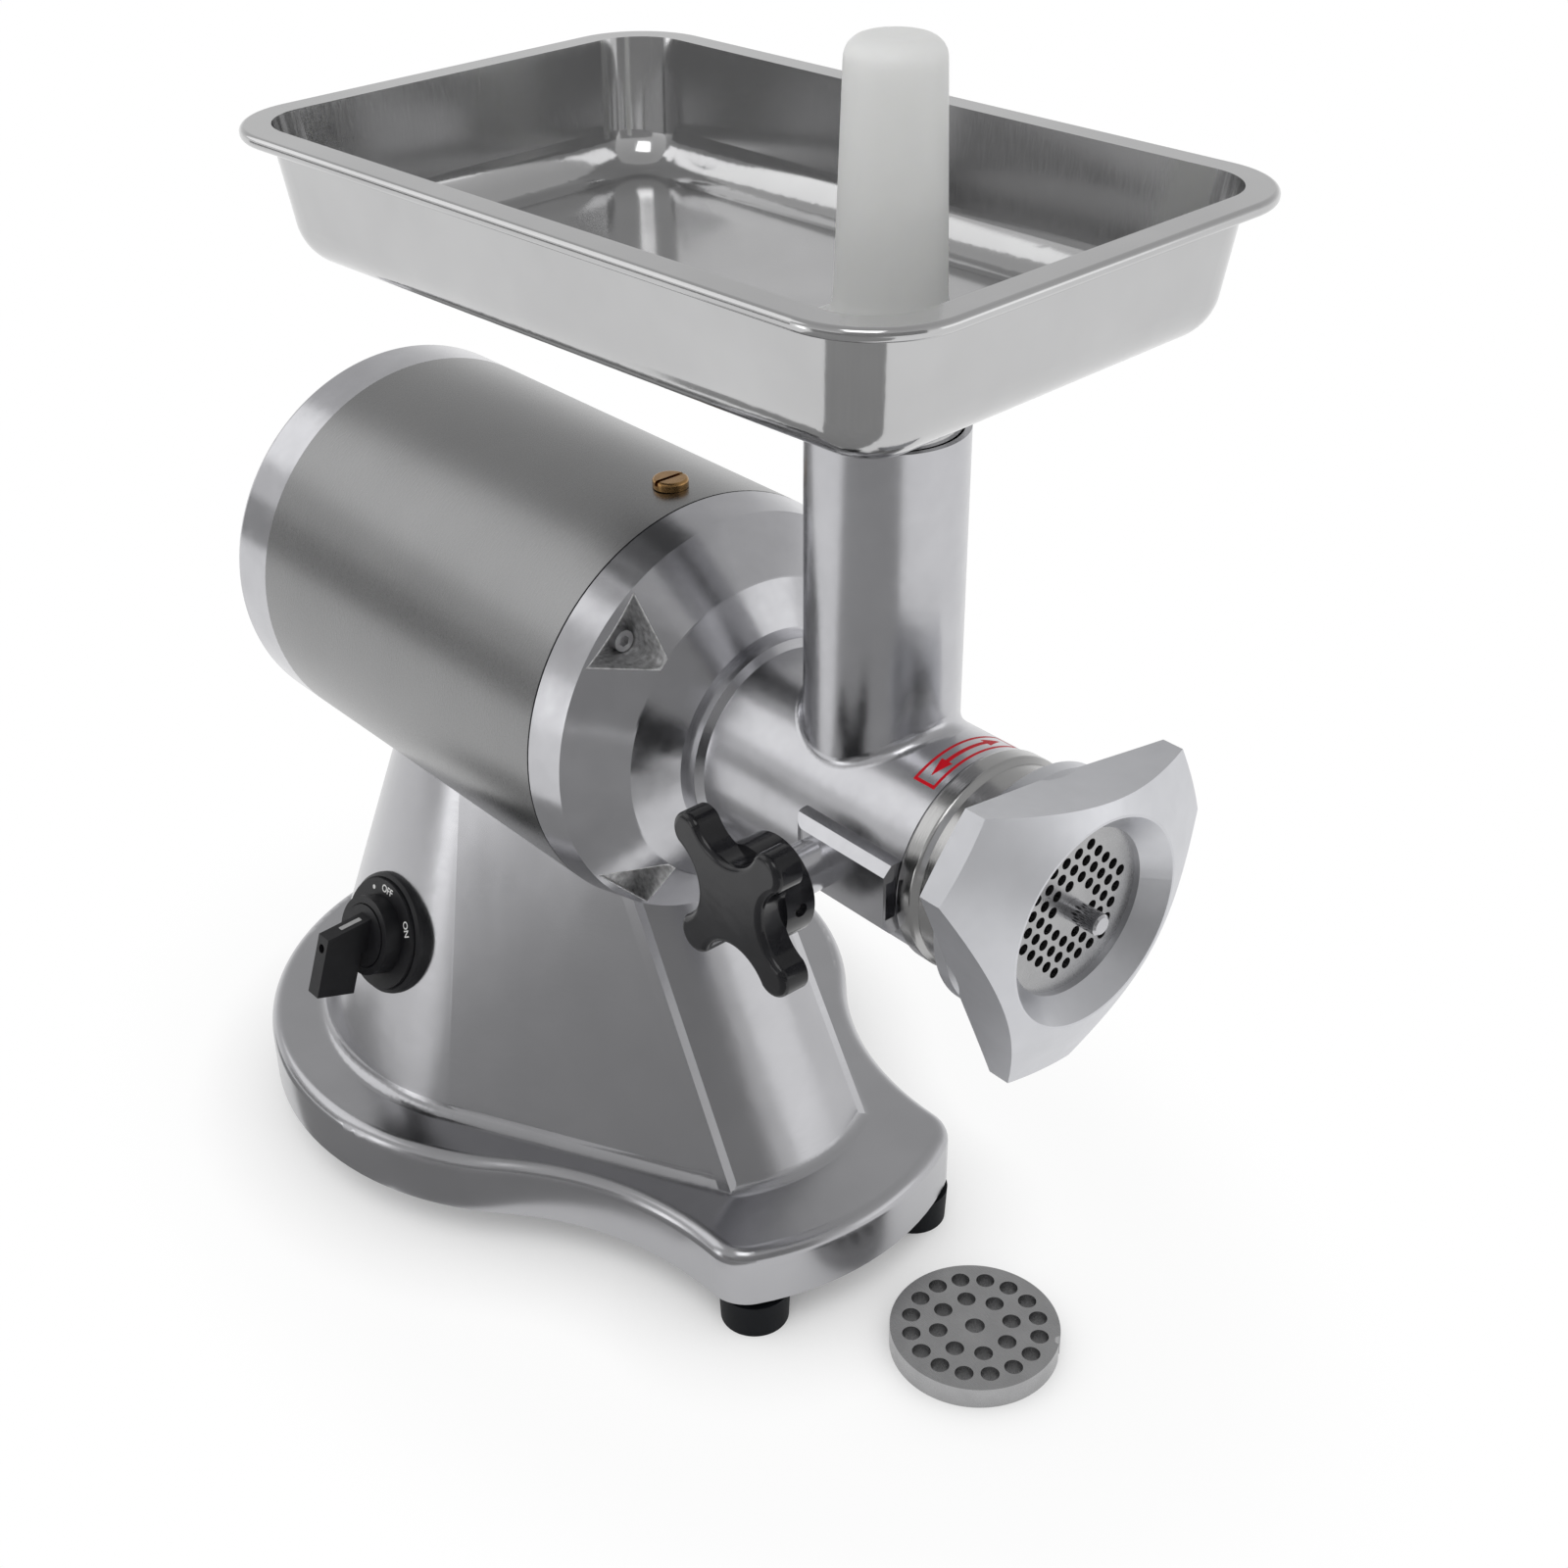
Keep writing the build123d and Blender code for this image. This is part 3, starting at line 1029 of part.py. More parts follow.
def make_stator():
    """The laminated stator ring."""
    return ring(STATOR_R, STATOR_BORE_R, CORE_REAR_Y - CORE_LENGTH, CORE_REAR_Y)


def make_windings():
    """The bevelled end turns of the coils, one bundle at each end of the stator."""
    ends = []
    front_y = CORE_REAR_Y - CORE_LENGTH
    for low_y in (front_y - WINDING_LENGTH, CORE_REAR_Y):
        bundle = ring(WINDING_OUTER_R, WINDING_INNER_R, low_y, low_y + WINDING_LENGTH)
        outer_end = -1 if low_y > front_y else 0
        edges = bundle.edges().filter_by(GeomType.CIRCLE).group_by(Axis.Y)[outer_end]
        ends.append(chamfer(edges, WINDING_LENGTH / 3))
    return ends


def make_rotor():
    """The laminated rotor."""
    return ring(ROTOR_R, SHAFT_R + SEAT / 2, CORE_REAR_Y - CORE_LENGTH, CORE_REAR_Y)


def make_motor_shaft():
    """The motor shaft, from the pinion to the rear bearing."""
    return ring(SHAFT_R, 0, FAST_GEAR_Y, SHAFT_REAR_Y)


def make_fan():
    """The cooling fan behind the rotor."""
    hub = ring(FAN_HUB_R, SHAFT_R + SEAT / 2, FAN_Y, FAN_Y + FAN_WIDTH)
    blade = Pos((FAN_HUB_R + FAN_R) / 2, FAN_Y + FAN_WIDTH / 2, AXIS_Z) * Box(
        FAN_R - FAN_HUB_R + 2, FAN_WIDTH, FAN_BLADE)
    return hub + around_axis(blade, FAN_BLADES)


def make_motor_bearings():
    """The two ball bearings of the motor shaft, as plain rings."""
    front_rear_y = END_PLATE_Y + END_PLATE
    bearings = []
    for rear_y in (front_rear_y, SHAFT_REAR_Y):
        bearings.append(ring(MOTOR_BEARING_R, SHAFT_R + RUN, rear_y - MOTOR_BEARING, rear_y))
    return bearings


# Gear train


def make_motor_pinion():
    """The small gear on the motor shaft."""
    return gear(PINION_TEETH, FAST_MODULE, FAST_GEAR_Y, FAST_GEAR_Y + FAST_GEAR, SHAFT_R + SEAT / 2, AXIS_Z, -90)


def make_lay_gear():
    """The large gear on the lay shaft, driven by the motor pinion."""
    gap = 90 + 180 / LAY_GEAR_TEETH
    return gear(LAY_GEAR_TEETH, FAST_MODULE, FAST_GEAR_Y, FAST_GEAR_Y + FAST_GEAR,
                LAY_SHAFT_R + SEAT / 2, AXIS_Z - LAY_OFFSET, gap)


def make_lay_pinion():
    """The small gear on the lay shaft, which drives the output gear."""
    return gear(LAY_PINION_TEETH, SLOW_MODULE, SLOW_GEAR_Y, SLOW_GEAR_Y + SLOW_GEAR,
                LAY_SHAFT_R + SEAT / 2, AXIS_Z - LAY_OFFSET, 90)


def make_lay_shaft():
    """The short shaft below the axis."""
    return rod_y(0, AXIS_Z - LAY_OFFSET, LAY_SHAFT_R, COVER_CAVITY_FRONT - LAY_BUSH, END_PLATE_Y + LAY_BUSH)


def make_lay_bushes():
    """Bronze bushes at both ends of the lay shaft."""
    bushes = []
    for low_y in (COVER_CAVITY_FRONT - LAY_BUSH, END_PLATE_Y):
        bush = rod_y(0, AXIS_Z - LAY_OFFSET, LAY_BUSH_R, low_y, low_y + LAY_BUSH)
        bushes.append(bush - rod_y(0, AXIS_Z - LAY_OFFSET, LAY_SHAFT_R + RUN, low_y, low_y + LAY_BUSH))
    return bushes


def make_output_gear():
    """The large gear on the output shaft."""
    gap = -90 + 180 / OUTPUT_TEETH
    return gear(OUTPUT_TEETH, SLOW_MODULE, SLOW_GEAR_Y, SLOW_GEAR_Y + SLOW_GEAR,
                OUTPUT_SHAFT_R + SEAT / 2, AXIS_Z, gap)


def make_output_shaft():
    """The output shaft with the square socket for the screw's tang."""
    shaft = ring(OUTPUT_SHAFT_R, 0, OUTPUT_SHAFT_FRONT, SLOW_GEAR_Y + SLOW_GEAR)
    side = TANG + 2 * SOCKET_PLAY
    return shaft - on_axis(Rectangle(side, side), OUTPUT_SHAFT_FRONT, TANG_REAR_Y + SOCKET_PLAY)


def make_output_bearing():
    """The bearing of the output shaft in the neck."""
    rear_y = COVER_CAVITY_FRONT
    return ring(OUTPUT_BEARING_R, OUTPUT_SHAFT_R + RUN, rear_y - OUTPUT_BEARING, rear_y)


def make_oil_seal():
    """The lip seal between gearbox and barrel."""
    return ring(SEAL_R, OUTPUT_SHAFT_R + RUN, NECK_REAR_WALL_Y, NECK_REAR_WALL_Y + SEAL)


# Electrical pieces


def make_capacitor():
    """The run capacitor, lying on the bottom plate."""
    z = SKIRT_BOTTOM + CAPACITOR_R
    can = rod_y(CAPACITOR_X, z, CAPACITOR_R, CAPACITOR_Y, CAPACITOR_Y + CAPACITOR_LENGTH)
    return fillet(can.edges().filter_by(GeomType.CIRCLE), 2)


def make_capacitor_clip():
    """The strap that holds the capacitor down."""
    z = SKIRT_BOTTOM + CAPACITOR_R
    y0 = CAPACITOR_Y + (CAPACITOR_LENGTH - CLIP_WIDTH) / 2
    inner_r = CAPACITOR_R + SEAT
    strap = rod_y(CAPACITOR_X, z, inner_r + CLIP_SHEET, y0, y0 + CLIP_WIDTH)
    legs = Pos(CAPACITOR_X, y0 + CLIP_WIDTH / 2, SKIRT_BOTTOM + CAPACITOR_R / 2) * Box(
        2 * (inner_r + CLIP_SHEET), CLIP_WIDTH, CAPACITOR_R)
    ears = Pos(CAPACITOR_X, y0 + CLIP_WIDTH / 2, SKIRT_BOTTOM + CLIP_SHEET / 2) * Box(
        2 * (inner_r + CLIP_EAR), CLIP_WIDTH, CLIP_SHEET)
    hole = rod_y(CAPACITOR_X, z, inner_r, y0, y0 + CLIP_WIDTH)
    hole += Pos(CAPACITOR_X, y0 + CLIP_WIDTH / 2, SKIRT_BOTTOM + CAPACITOR_R / 2) * Box(
        2 * inner_r, CLIP_WIDTH, CAPACITOR_R)
    above = Pos(CAPACITOR_X, y0 + CLIP_WIDTH / 2, SKIRT_BOTTOM + 2 * CAPACITOR_R) * Box(
        8 * CAPACITOR_R, CLIP_WIDTH, 4 * CAPACITOR_R)
    return (strap + legs + ears - hole) & above


def make_terminal_block():
    """The screw terminals for the cord and the motor leads."""
    width, length, height = TERMINAL_SIZE
    block = Pos(TERMINAL_X, TERMINAL_Y, SKIRT_BOTTOM + height / 2) * Box(width, length, height)
    top = Pos(TERMINAL_X, TERMINAL_Y, SKIRT_BOTTOM + height)
    return block - [top * place * Cylinder(TERMINAL_HOLE_R, height / 2) for place in GridLocations(
        width / 2, length / 5, 2, 4)]


# Names and export

FEET = ["foot_front_left", "foot_front_right", "foot_rear_left", "foot_rear_right"]
MAKERS = {
    "pedestal": make_pedestal,
    "bottom_plate": make_bottom_plate,
    "foot_screws": make_foot_screws,
    "switch_body": make_switch_body,
    "switch_plate": make_switch_plate,
    "switch_knob": make_switch_knob,
    "cable_gland": make_cable_gland,
    "motor_sleeve": make_motor_sleeve,
    "gasket": make_gasket,
    "oil_plug": make_oil_plug,
    "rear_cap": make_rear_cap,
    "rear_cap_screws": make_rear_cap_screws,
    "gear_cover": make_gear_cover,
    "cover_screws": make_cover_screws,
    "neck": make_neck,
    "barrel": make_barrel,
    "plate_key": make_plate_key,
    "fine_plate": make_fine_plate,
    "spare_plate": make_spare_plate,
    "feed_screw": make_feed_screw,
    "knife": make_knife,
    "ring_nut": make_ring_nut,
    "clamp_pad": make_clamp_pad,
    "clamp_stud": make_clamp_stud,
    "star_knob": make_star_knob,
    "knob_pin": make_knob_pin,
    "tray": make_tray,
    "pusher": make_pusher,
    "end_plate": make_end_plate,
    "motor_frame": make_motor_frame,
    "stator": make_stator,
    "windings": make_windings,
    "rotor": make_rotor,
    "motor_shaft": make_motor_shaft,
    "fan": make_fan,
    "motor_bearings": make_motor_bearings,
    "motor_pinion": make_motor_pinion,
    "lay_gear": make_lay_gear,
    "lay_pinion": make_lay_pinion,
    "lay_shaft": make_lay_shaft,
    "lay_bushes": make_lay_bushes,
    "output_gear": make_output_gear,
    "output_shaft": make_output_shaft,
    "output_bearing": make_output_bearing,
    "oil_seal": make_oil_seal,
    "capacitor": make_capacitor,
    "capacitor_clip": make_capacitor_clip,
    "terminal_block": make_terminal_block,
}


def solids_of(made):
    """The made shape or list of shapes as a flat list of solids, moved to the final origin."""
    shapes = made if isinstance(made, list) else [made]
    solids = []
    for shape in shapes:
        solids.extend((Pos(0, -MIDDLE_Y, 0) * shape).solids())
    return solids


def save(name, made):
    """Write one node as a STEP file."""
    solids = solids_of(made)
    whole = solids[0] if len(solids) == 1 else Compound(children=solids)
    whole.label = name
    export_step(whole, os.path.join("parts", name + ".step"))


def main():
    os.makedirs("parts", exist_ok=True)
    for name, (x, y) in zip(FEET, FOOT_PLACES):
        save(name, make_foot(x, y))
    for name, maker in MAKERS.items():
        save(name, maker())


main()
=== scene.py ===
# Looks of the electric meat grinder: materials, small pieces, studio and camera.
# Metres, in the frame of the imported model. The outlet faces -Y and the floor is Z = 0.

import json
from math import cos, pi, radians, sin

import bmesh
import bpy
from mathutils import Matrix, Vector
from mathutils.bvhtree import BVHTree


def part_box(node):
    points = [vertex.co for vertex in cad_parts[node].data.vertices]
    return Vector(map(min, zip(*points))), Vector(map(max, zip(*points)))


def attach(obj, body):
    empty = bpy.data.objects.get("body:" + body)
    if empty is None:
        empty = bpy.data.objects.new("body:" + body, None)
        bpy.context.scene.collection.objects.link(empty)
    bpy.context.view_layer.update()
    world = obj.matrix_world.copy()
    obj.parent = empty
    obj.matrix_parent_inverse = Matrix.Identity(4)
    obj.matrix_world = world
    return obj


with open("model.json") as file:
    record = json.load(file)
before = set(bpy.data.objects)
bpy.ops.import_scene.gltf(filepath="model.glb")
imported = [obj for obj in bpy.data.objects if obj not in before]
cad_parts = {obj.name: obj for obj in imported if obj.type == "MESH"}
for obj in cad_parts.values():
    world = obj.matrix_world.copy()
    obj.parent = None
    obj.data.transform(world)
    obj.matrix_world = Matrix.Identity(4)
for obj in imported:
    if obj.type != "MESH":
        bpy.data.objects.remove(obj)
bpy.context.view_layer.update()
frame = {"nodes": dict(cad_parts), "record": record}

# Camera, found from the round edges in the photograph
CAMERA_PLACE = Vector((-0.48059, -0.61566, 0.67292))
CAMERA_YAW = -41.2656
CAMERA_PITCH = 31.5146
CAMERA_ROLL = -0.2855
CAMERA_LENS = 50.677
CAMERA_SENSOR = 36.0
CAMERA_NEAR = 0.05

# Floor, with the machine's shadow on the part of it given by the half lengths
FLOOR_HALF = 20.0
FLOOR_TONE = 0.95
FLOOR_CLOUD = 3.0
FLOOR_CHANGE = 0.004
FLOOR_ROUGHNESS = 0.9
FLOOR_SPECULAR = 0.1
SHADOW_HALF_X = 0.15
SHADOW_HALF_Y = 0.24
SHADOW_FADE = 1.6      # where the floor is plain white, as a multiple
SHADOW_LIFT = 0.93     # share of plain white in the open part of the shadow
SHADOW_REACH = 0.05    # pieces this near keep the floor dark
SHADOW_SAMPLES = 8

# Tone of the sky by height, from the horizon at 0 to straight up at 1
SKY = {0.0: 1.0, 0.10: 0.865, 0.38: 0.62, 1.0: 0.45}

# Light panels, which face the aim: place, width, height, brightness
AIM = Vector((0.0, -0.02, 0.24))
SOFT_PANELS = {
    "panel_top": ((-0.75, -0.65, 1.75), 0.8, 0.8, 2.0),
    "panel_back_left": ((-1.15, 1.75, 1.75), 1.9, 1.5, 0.75),
    "panel_left": ((-1.85, 0.58, 0.40), 0.30, 0.8, 1.4),
    "panel_front_right": ((1.3, -1.75, 0.62), 1.2, 0.9, 0.5),
}

# Cards that show only in the polished faces, where they paint darker reflections than the pale floor and
# sky give: one lies just above the floor, the others stand
LYING_CARD = [
    (-0.145, 0.28), (-0.27, 0.30), (-0.30, 0.10), (-1.7, 0.14), (-1.7, -1.2),
    (-0.5, -1.3), (-0.16, -0.45), (-0.112, -0.165), (-0.085, -0.06), (-0.135, 0.05),
]
LYING_CARD_Z = 0.012
LYING_CARD_TONE = 0.50
# Seen from above the two ends, then the low edge, the high edge and the tone
STANDING_CARDS = {
    "dark_reflection_card": ((-1.75, -0.75), (0.25, -2.0), 0.05, 1.35, 0.38),
    "left_reflection_card": ((-1.9, 0.25), (-1.75, -0.75), 0.02, 0.75, 0.36),
    "back_reflection_card": ((-1.75, 0.95), (-0.9, 1.7), 0.02, 0.50, 0.50),
}
CARD_FINISH = dict(change=0.05, roughness=0.8, rough_change=0.05, bump=0.0)

# Motor and barrel axis
AXIS_Z = 0.244

# Screw pockets on the diagonals of the gear cover, as lengths from the motor's axis
POCKET_TIP = 0.0592
POCKET_FROM = 0.0624
POCKET_TO = 0.0804
POCKET_SLOPE = 0.7775  # half the width, by the length from the tip

# Rough metal in the pockets
RAW_COLOUR = (0.72, 0.72, 0.725)
RAW_CHANGE = 0.30
RAW_ROUGHNESS = 0.52
RAW_GRAIN = 420.0
RAW_BUMP = 0.35
RAW_DEPTH = 0.0006

# Rotary switch: middle of the legend plate's rear face, lean of the plate and what is printed on it
SWITCH_PLACE = Vector((-0.088873, 0.09605, 0.111018))
SWITCH_LEAN = 0.336
LEGEND_FACE = 0.004
LEGEND_R = 0.0206
LETTER_HEIGHT = 0.0046
LETTER_WEIGHT = 0.00009
OFF_ANGLE = 0.0        # anticlockwise from straight up, seen from outside
ON_ANGLE = -60.0
DOT_ANGLE = 28.0
DOT_R = 0.0010
DOT_STEPS = 24
PRINT_LIFT = 0.00006

# Matte black ring round the seat of the switch: radius, and height from the rear face of the legend plate
RING_PROFILE = [
    (0.02455, 0.00002), (0.02455, 0.0022), (0.0253, 0.0024), (0.0266, 0.0012),
    (0.0270, -0.0004), (0.0270, -0.0090), (0.02655, -0.0090), (0.02655, 0.00002),
]
RING_STEPS = 96

# Pointer line on the slanted front of the switch handle: places up the legend and out from its rear face
SLOPE_FOOT = (0.0095, 0.0125)
SLOPE_TIP = (0.0015, 0.0325)
LINE_FROM = 0.14       # shares of the slope
LINE_TO = 0.62
LINE_HALF_WIDTH = 0.0012
LINE_CORNER = 0.0003
LINE_CORNER_STEPS = 4
LINE_THICKNESS = 0.00012

# Turning sign on the neck, with angles from the top
SIGN_Y = -0.16375
SIGN_HALF_WIDTH = 0.005
SIGN_HALF_ANGLE = 31.0
SIGN_LINE = 0.0012     # width of the long lines of its frame
SIGN_END_ANGLE = 1.86  # width of the short ones
ARROW_TIP_ANGLE = 25.0
ARROW_BASE_ANGLE = 13.5
ARROW_HALF_WIDTH = 0.0026
ARROW_TIP_HALF_WIDTH = 0.00005
SHAFT_HALF_WIDTH = 0.0009
SIGN_SEARCH_R = 0.06
SIGN_LIFT = 0.00012
SIGN_STEPS = 32

# Thread on the nose of the barrel, under the ring nut
THREAD_R = 0.038
THREAD_HEIGHT = 0.0003
THREAD_ROOT = 0.0002   # sunk into the nose by this much
THREAD_PITCH = 0.005
THREAD_FOOT = 0.36     # half widths at the foot and the crest, as shares of the pitch
THREAD_CREST = 0.16
THREAD_FROM = 0.0025   # behind the nose's front
THREAD_TURNS = 3.2
THREAD_STEPS = 96      # in each turn
THREAD_RUN_OUT = 24    # steps over which each end fades
THREAD_END = 0.05      # share of the height that is left at the ends

# Noise and relief in the finishes
NOISE_LOW = 0.3        # most of a noise lies between these two
NOISE_HIGH = 0.7
CLOUD_DETAIL = 3.0
GRAIN_DETAIL = 2.0
GRAIN_DEPTH = 0.0002
WAVE_DEPTH = 0.002

# Stretch of the grain, small along its run
EVEN = (1.0, 1.0, 1.0)
RINGS = (0.05, 1.0, 0.05)      # round the motor's axis
LEVEL = (0.06, 0.06, 1.0)      # level round the pedestal
UPRIGHT = (1.0, 1.0, 0.04)     # up and down

# Node helpers


class Paint:
    """A node material that is filled step by step."""

    def __init__(self, name):
        self.material = bpy.data.materials.new(name)
        self.material.use_nodes = True
        self.tree = self.material.node_tree
        self.shader = self.tree.nodes["Principled BSDF"]
        self.coords = self.add("ShaderNodeTexCoord").outputs["Object"]

    def add(self, kind, **settings):
        node = self.tree.nodes.new(kind)
        for key, value in settings.items():
            setattr(node, key, value)
        return node

    def put(self, socket, value):
        """Sets an input, or links it to an output."""
        if isinstance(value, bpy.types.NodeSocket):
            self.tree.links.new(value, socket)
        else:
            socket.default_value = value

    def feed(self, node, **inputs):
        """Sets or links the inputs of a node, by name."""
        for key, value in inputs.items():
            self.put(node.inputs[key.replace("_", " ")], value)
        return node

    def result(self, kind, operation, values):
        """What a node makes of values that are given in the order of its inputs."""
        node = self.add(kind, operation=operation)
        for socket, value in zip(node.inputs, values):
            self.put(socket, value)
        return [socket for socket in node.outputs if socket.enabled][0]

    def math(self, operation, *values):
        return self.result("ShaderNodeMath", operation, values)

    def vector_math(self, operation, *values):
        return self.result("ShaderNodeVectorMath", operation, values)

    def scaled(self, scale):
        """The object's own metres, times the scale."""
        node = self.feed(self.add("ShaderNodeMapping"), Vector=self.coords, Scale=scale)
        return node.outputs["Vector"]

    def noise(self, scale, detail=CLOUD_DETAIL, stretch=EVEN):
        """Noise in the object's own metres, drawn out by the stretch."""
        node = self.add("ShaderNodeTexNoise")
        self.feed(node, Vector=self.scaled(stretch), Scale=scale, Detail=detail)
        return node.outputs["Fac"]

    def spread(self, value, low, high):
        """A noise, brought to the range from low to high."""
        node = self.add("ShaderNodeMapRange")
        self.feed(node, Value=value, From_Min=NOISE_LOW, From_Max=NOISE_HIGH, To_Min=low, To_Max=high)
        return node.outputs["Result"]

    def blend(self, share, first, second, kind="FLOAT"):
        """From the first input to the second by the share."""
        node = self.feed(self.add("ShaderNodeMix", data_type=kind), Factor=share, A=first, B=second)
        return node.outputs["Result"]

    def two_tone(self, value, colour, change):
        """The colour, a little darker and lighter from place to place."""
        dark = shade(colour, 1.0 - change)
        light = shade(colour, 1.0 + change)
        return self.blend(self.spread(value, 0.0, 1.0), dark, light, "RGBA")

    def bump(self, height, strength, distance, normal=None):
        """Relief, on top of another relief if one is given."""
        node = self.add("ShaderNodeBump")
        self.feed(node, Height=height, Strength=strength, Distance=distance)
        if normal is not None:
            self.feed(node, Normal=normal)
        return node.outputs["Normal"]


def shade(colour, factor):
    return (colour[0] * factor, colour[1] * factor, colour[2] * factor, 1.0)


def finish(name, colour, change, roughness, rough_change, cloud=25.0, grain=900.0, stretch=EVEN,
           bump=0.1, wave=40.0, wave_bump=0.0, metallic=0.0, raw=None, **sockets):
    """A finish with uneven colour, grain in its gloss, fine relief and slow waves in the surface.

    Where the mask that raw makes is one, the metal is rough, as it left the mould.
    """
    paint = Paint(name)
    clouds = paint.noise(cloud)
    lines = paint.noise(grain, GRAIN_DETAIL, stretch)
    normal = paint.bump(lines, bump, GRAIN_DEPTH)
    if wave_bump:
        normal = paint.bump(paint.noise(wave, GRAIN_DETAIL), wave_bump, WAVE_DEPTH, normal)
    tint = paint.two_tone(clouds, colour, change)
    gloss = paint.spread(lines, roughness - rough_change, roughness + rough_change)
    if raw:
        mask = raw(paint)
        lumps = paint.noise(RAW_GRAIN)
        tint = paint.blend(mask, tint, paint.two_tone(lumps, RAW_COLOUR, RAW_CHANGE), "RGBA")
        gloss = paint.blend(mask, gloss, RAW_ROUGHNESS)
        normal = paint.bump(paint.blend(mask, 0.0, lumps), RAW_BUMP, RAW_DEPTH, normal)
    paint.feed(paint.shader, Base_Color=tint, Roughness=gloss, Normal=normal, Metallic=metallic, **sockets)
    return paint.material


def pocket_mask(paint):
    """One in the screw pockets of the gear cover, nought on the rest of it."""
    from_axis = paint.vector_math("SUBTRACT", paint.coords, (0.0, 0.0, AXIS_Z))
    quarter = paint.vector_math("ABSOLUTE", from_axis)
    turned = paint.add("ShaderNodeVectorRotate", rotation_type="Y_AXIS")
    paint.feed(turned, Vector=quarter, Angle=pi / 4)
    split = paint.feed(paint.add("ShaderNodeSeparateXYZ"), Vector=turned.outputs["Vector"])
    outward = split.outputs["X"]
    aside = paint.math("ABSOLUTE", split.outputs["Z"])
    half_width = paint.math("MULTIPLY", paint.math("SUBTRACT", outward, POCKET_TIP), POCKET_SLOPE)
    within_sides = paint.math("LESS_THAN", aside, half_width)
    middle = (POCKET_FROM + POCKET_TO) / 2
    half_length = (POCKET_TO - POCKET_FROM) / 2
    within_ends = paint.math("COMPARE", outward, middle, half_length)
    return paint.math("MULTIPLY", within_sides, within_ends)


# Finishes

CAST_POLISHED = dict(
    colour=(0.52, 0.52, 0.54), change=0.05, roughness=0.18, rough_change=0.02,
    cloud=60.0, grain=250.0, bump=0.01, wave=45.0, wave_bump=0.08)

METALS = {
    "cast_satin": dict(
        colour=(0.44, 0.44, 0.455), change=0.04, roughness=0.22, rough_change=0.02,
        grain=2200.0, stretch=LEVEL, bump=0.01, wave=30.0, wave_bump=0.08),
    "cast_polished": CAST_POLISHED,
    "gear_cover": dict(CAST_POLISHED, raw=pocket_mask),
    "neck": dict(CAST_POLISHED, change=0.04, roughness=0.24, bump=0.006),
    "ring_nut": dict(
        colour=(0.60, 0.605, 0.63), change=0.03, roughness=0.36, rough_change=0.02,
        cloud=60.0, grain=250.0, bump=0.006),
    "sleeve_steel": dict(
        colour=(0.27, 0.27, 0.272), change=0.03, roughness=0.28, rough_change=0.02,
        grain=7000.0, stretch=RINGS, bump=0.004),
    "tray_steel": dict(
        colour=(0.52, 0.52, 0.523), change=0.04, roughness=0.12, rough_change=0.025,
        grain=1500.0, stretch=UPRIGHT, bump=0.02, wave=18.0, wave_bump=0.05),
    "barrel_steel": dict(
        colour=(0.43, 0.428, 0.425), change=0.05, roughness=0.20, rough_change=0.05,
        grain=2600.0, stretch=RINGS, bump=0.12),
    "tool_steel": dict(
        colour=(0.40, 0.40, 0.405), change=0.06, roughness=0.30, rough_change=0.06,
        cloud=90.0, grain=2600.0, stretch=(1.0, 0.05, 0.3), bump=0.10),
    "fastener_steel": dict(
        colour=(0.56, 0.56, 0.57), change=0.08, roughness=0.38, rough_change=0.07,
        cloud=300.0, grain=3000.0, bump=0.08),
    "sheet_steel": dict(
        colour=(0.38, 0.38, 0.39), change=0.08, roughness=0.36, rough_change=0.06,
        grain=1800.0, stretch=(1.0, 0.05, 1.0), bump=0.10),
    "brass": dict(
        colour=(0.35, 0.205, 0.085), change=0.12, roughness=0.26, rough_change=0.08,
        cloud=400.0, grain=2500.0, bump=0.12),
    "bronze": dict(
        colour=(0.48, 0.32, 0.16), change=0.10, roughness=0.36, rough_change=0.06,
        cloud=300.0, bump=0.12),
    "copper": dict(
        colour=(0.50, 0.22, 0.09), change=0.15, roughness=0.34, rough_change=0.08,
        cloud=200.0, grain=1600.0, stretch=RINGS, bump=0.5),
    "lamination": dict(
        colour=(0.20, 0.20, 0.215), change=0.10, roughness=0.45, rough_change=0.08,
        grain=2000.0, stretch=(0.03, 1.0, 0.03), bump=0.5),
    "gear_steel": dict(
        colour=(0.36, 0.36, 0.38), change=0.08, roughness=0.28, rough_change=0.08,
        cloud=80.0, grain=1500.0, bump=0.08),
}

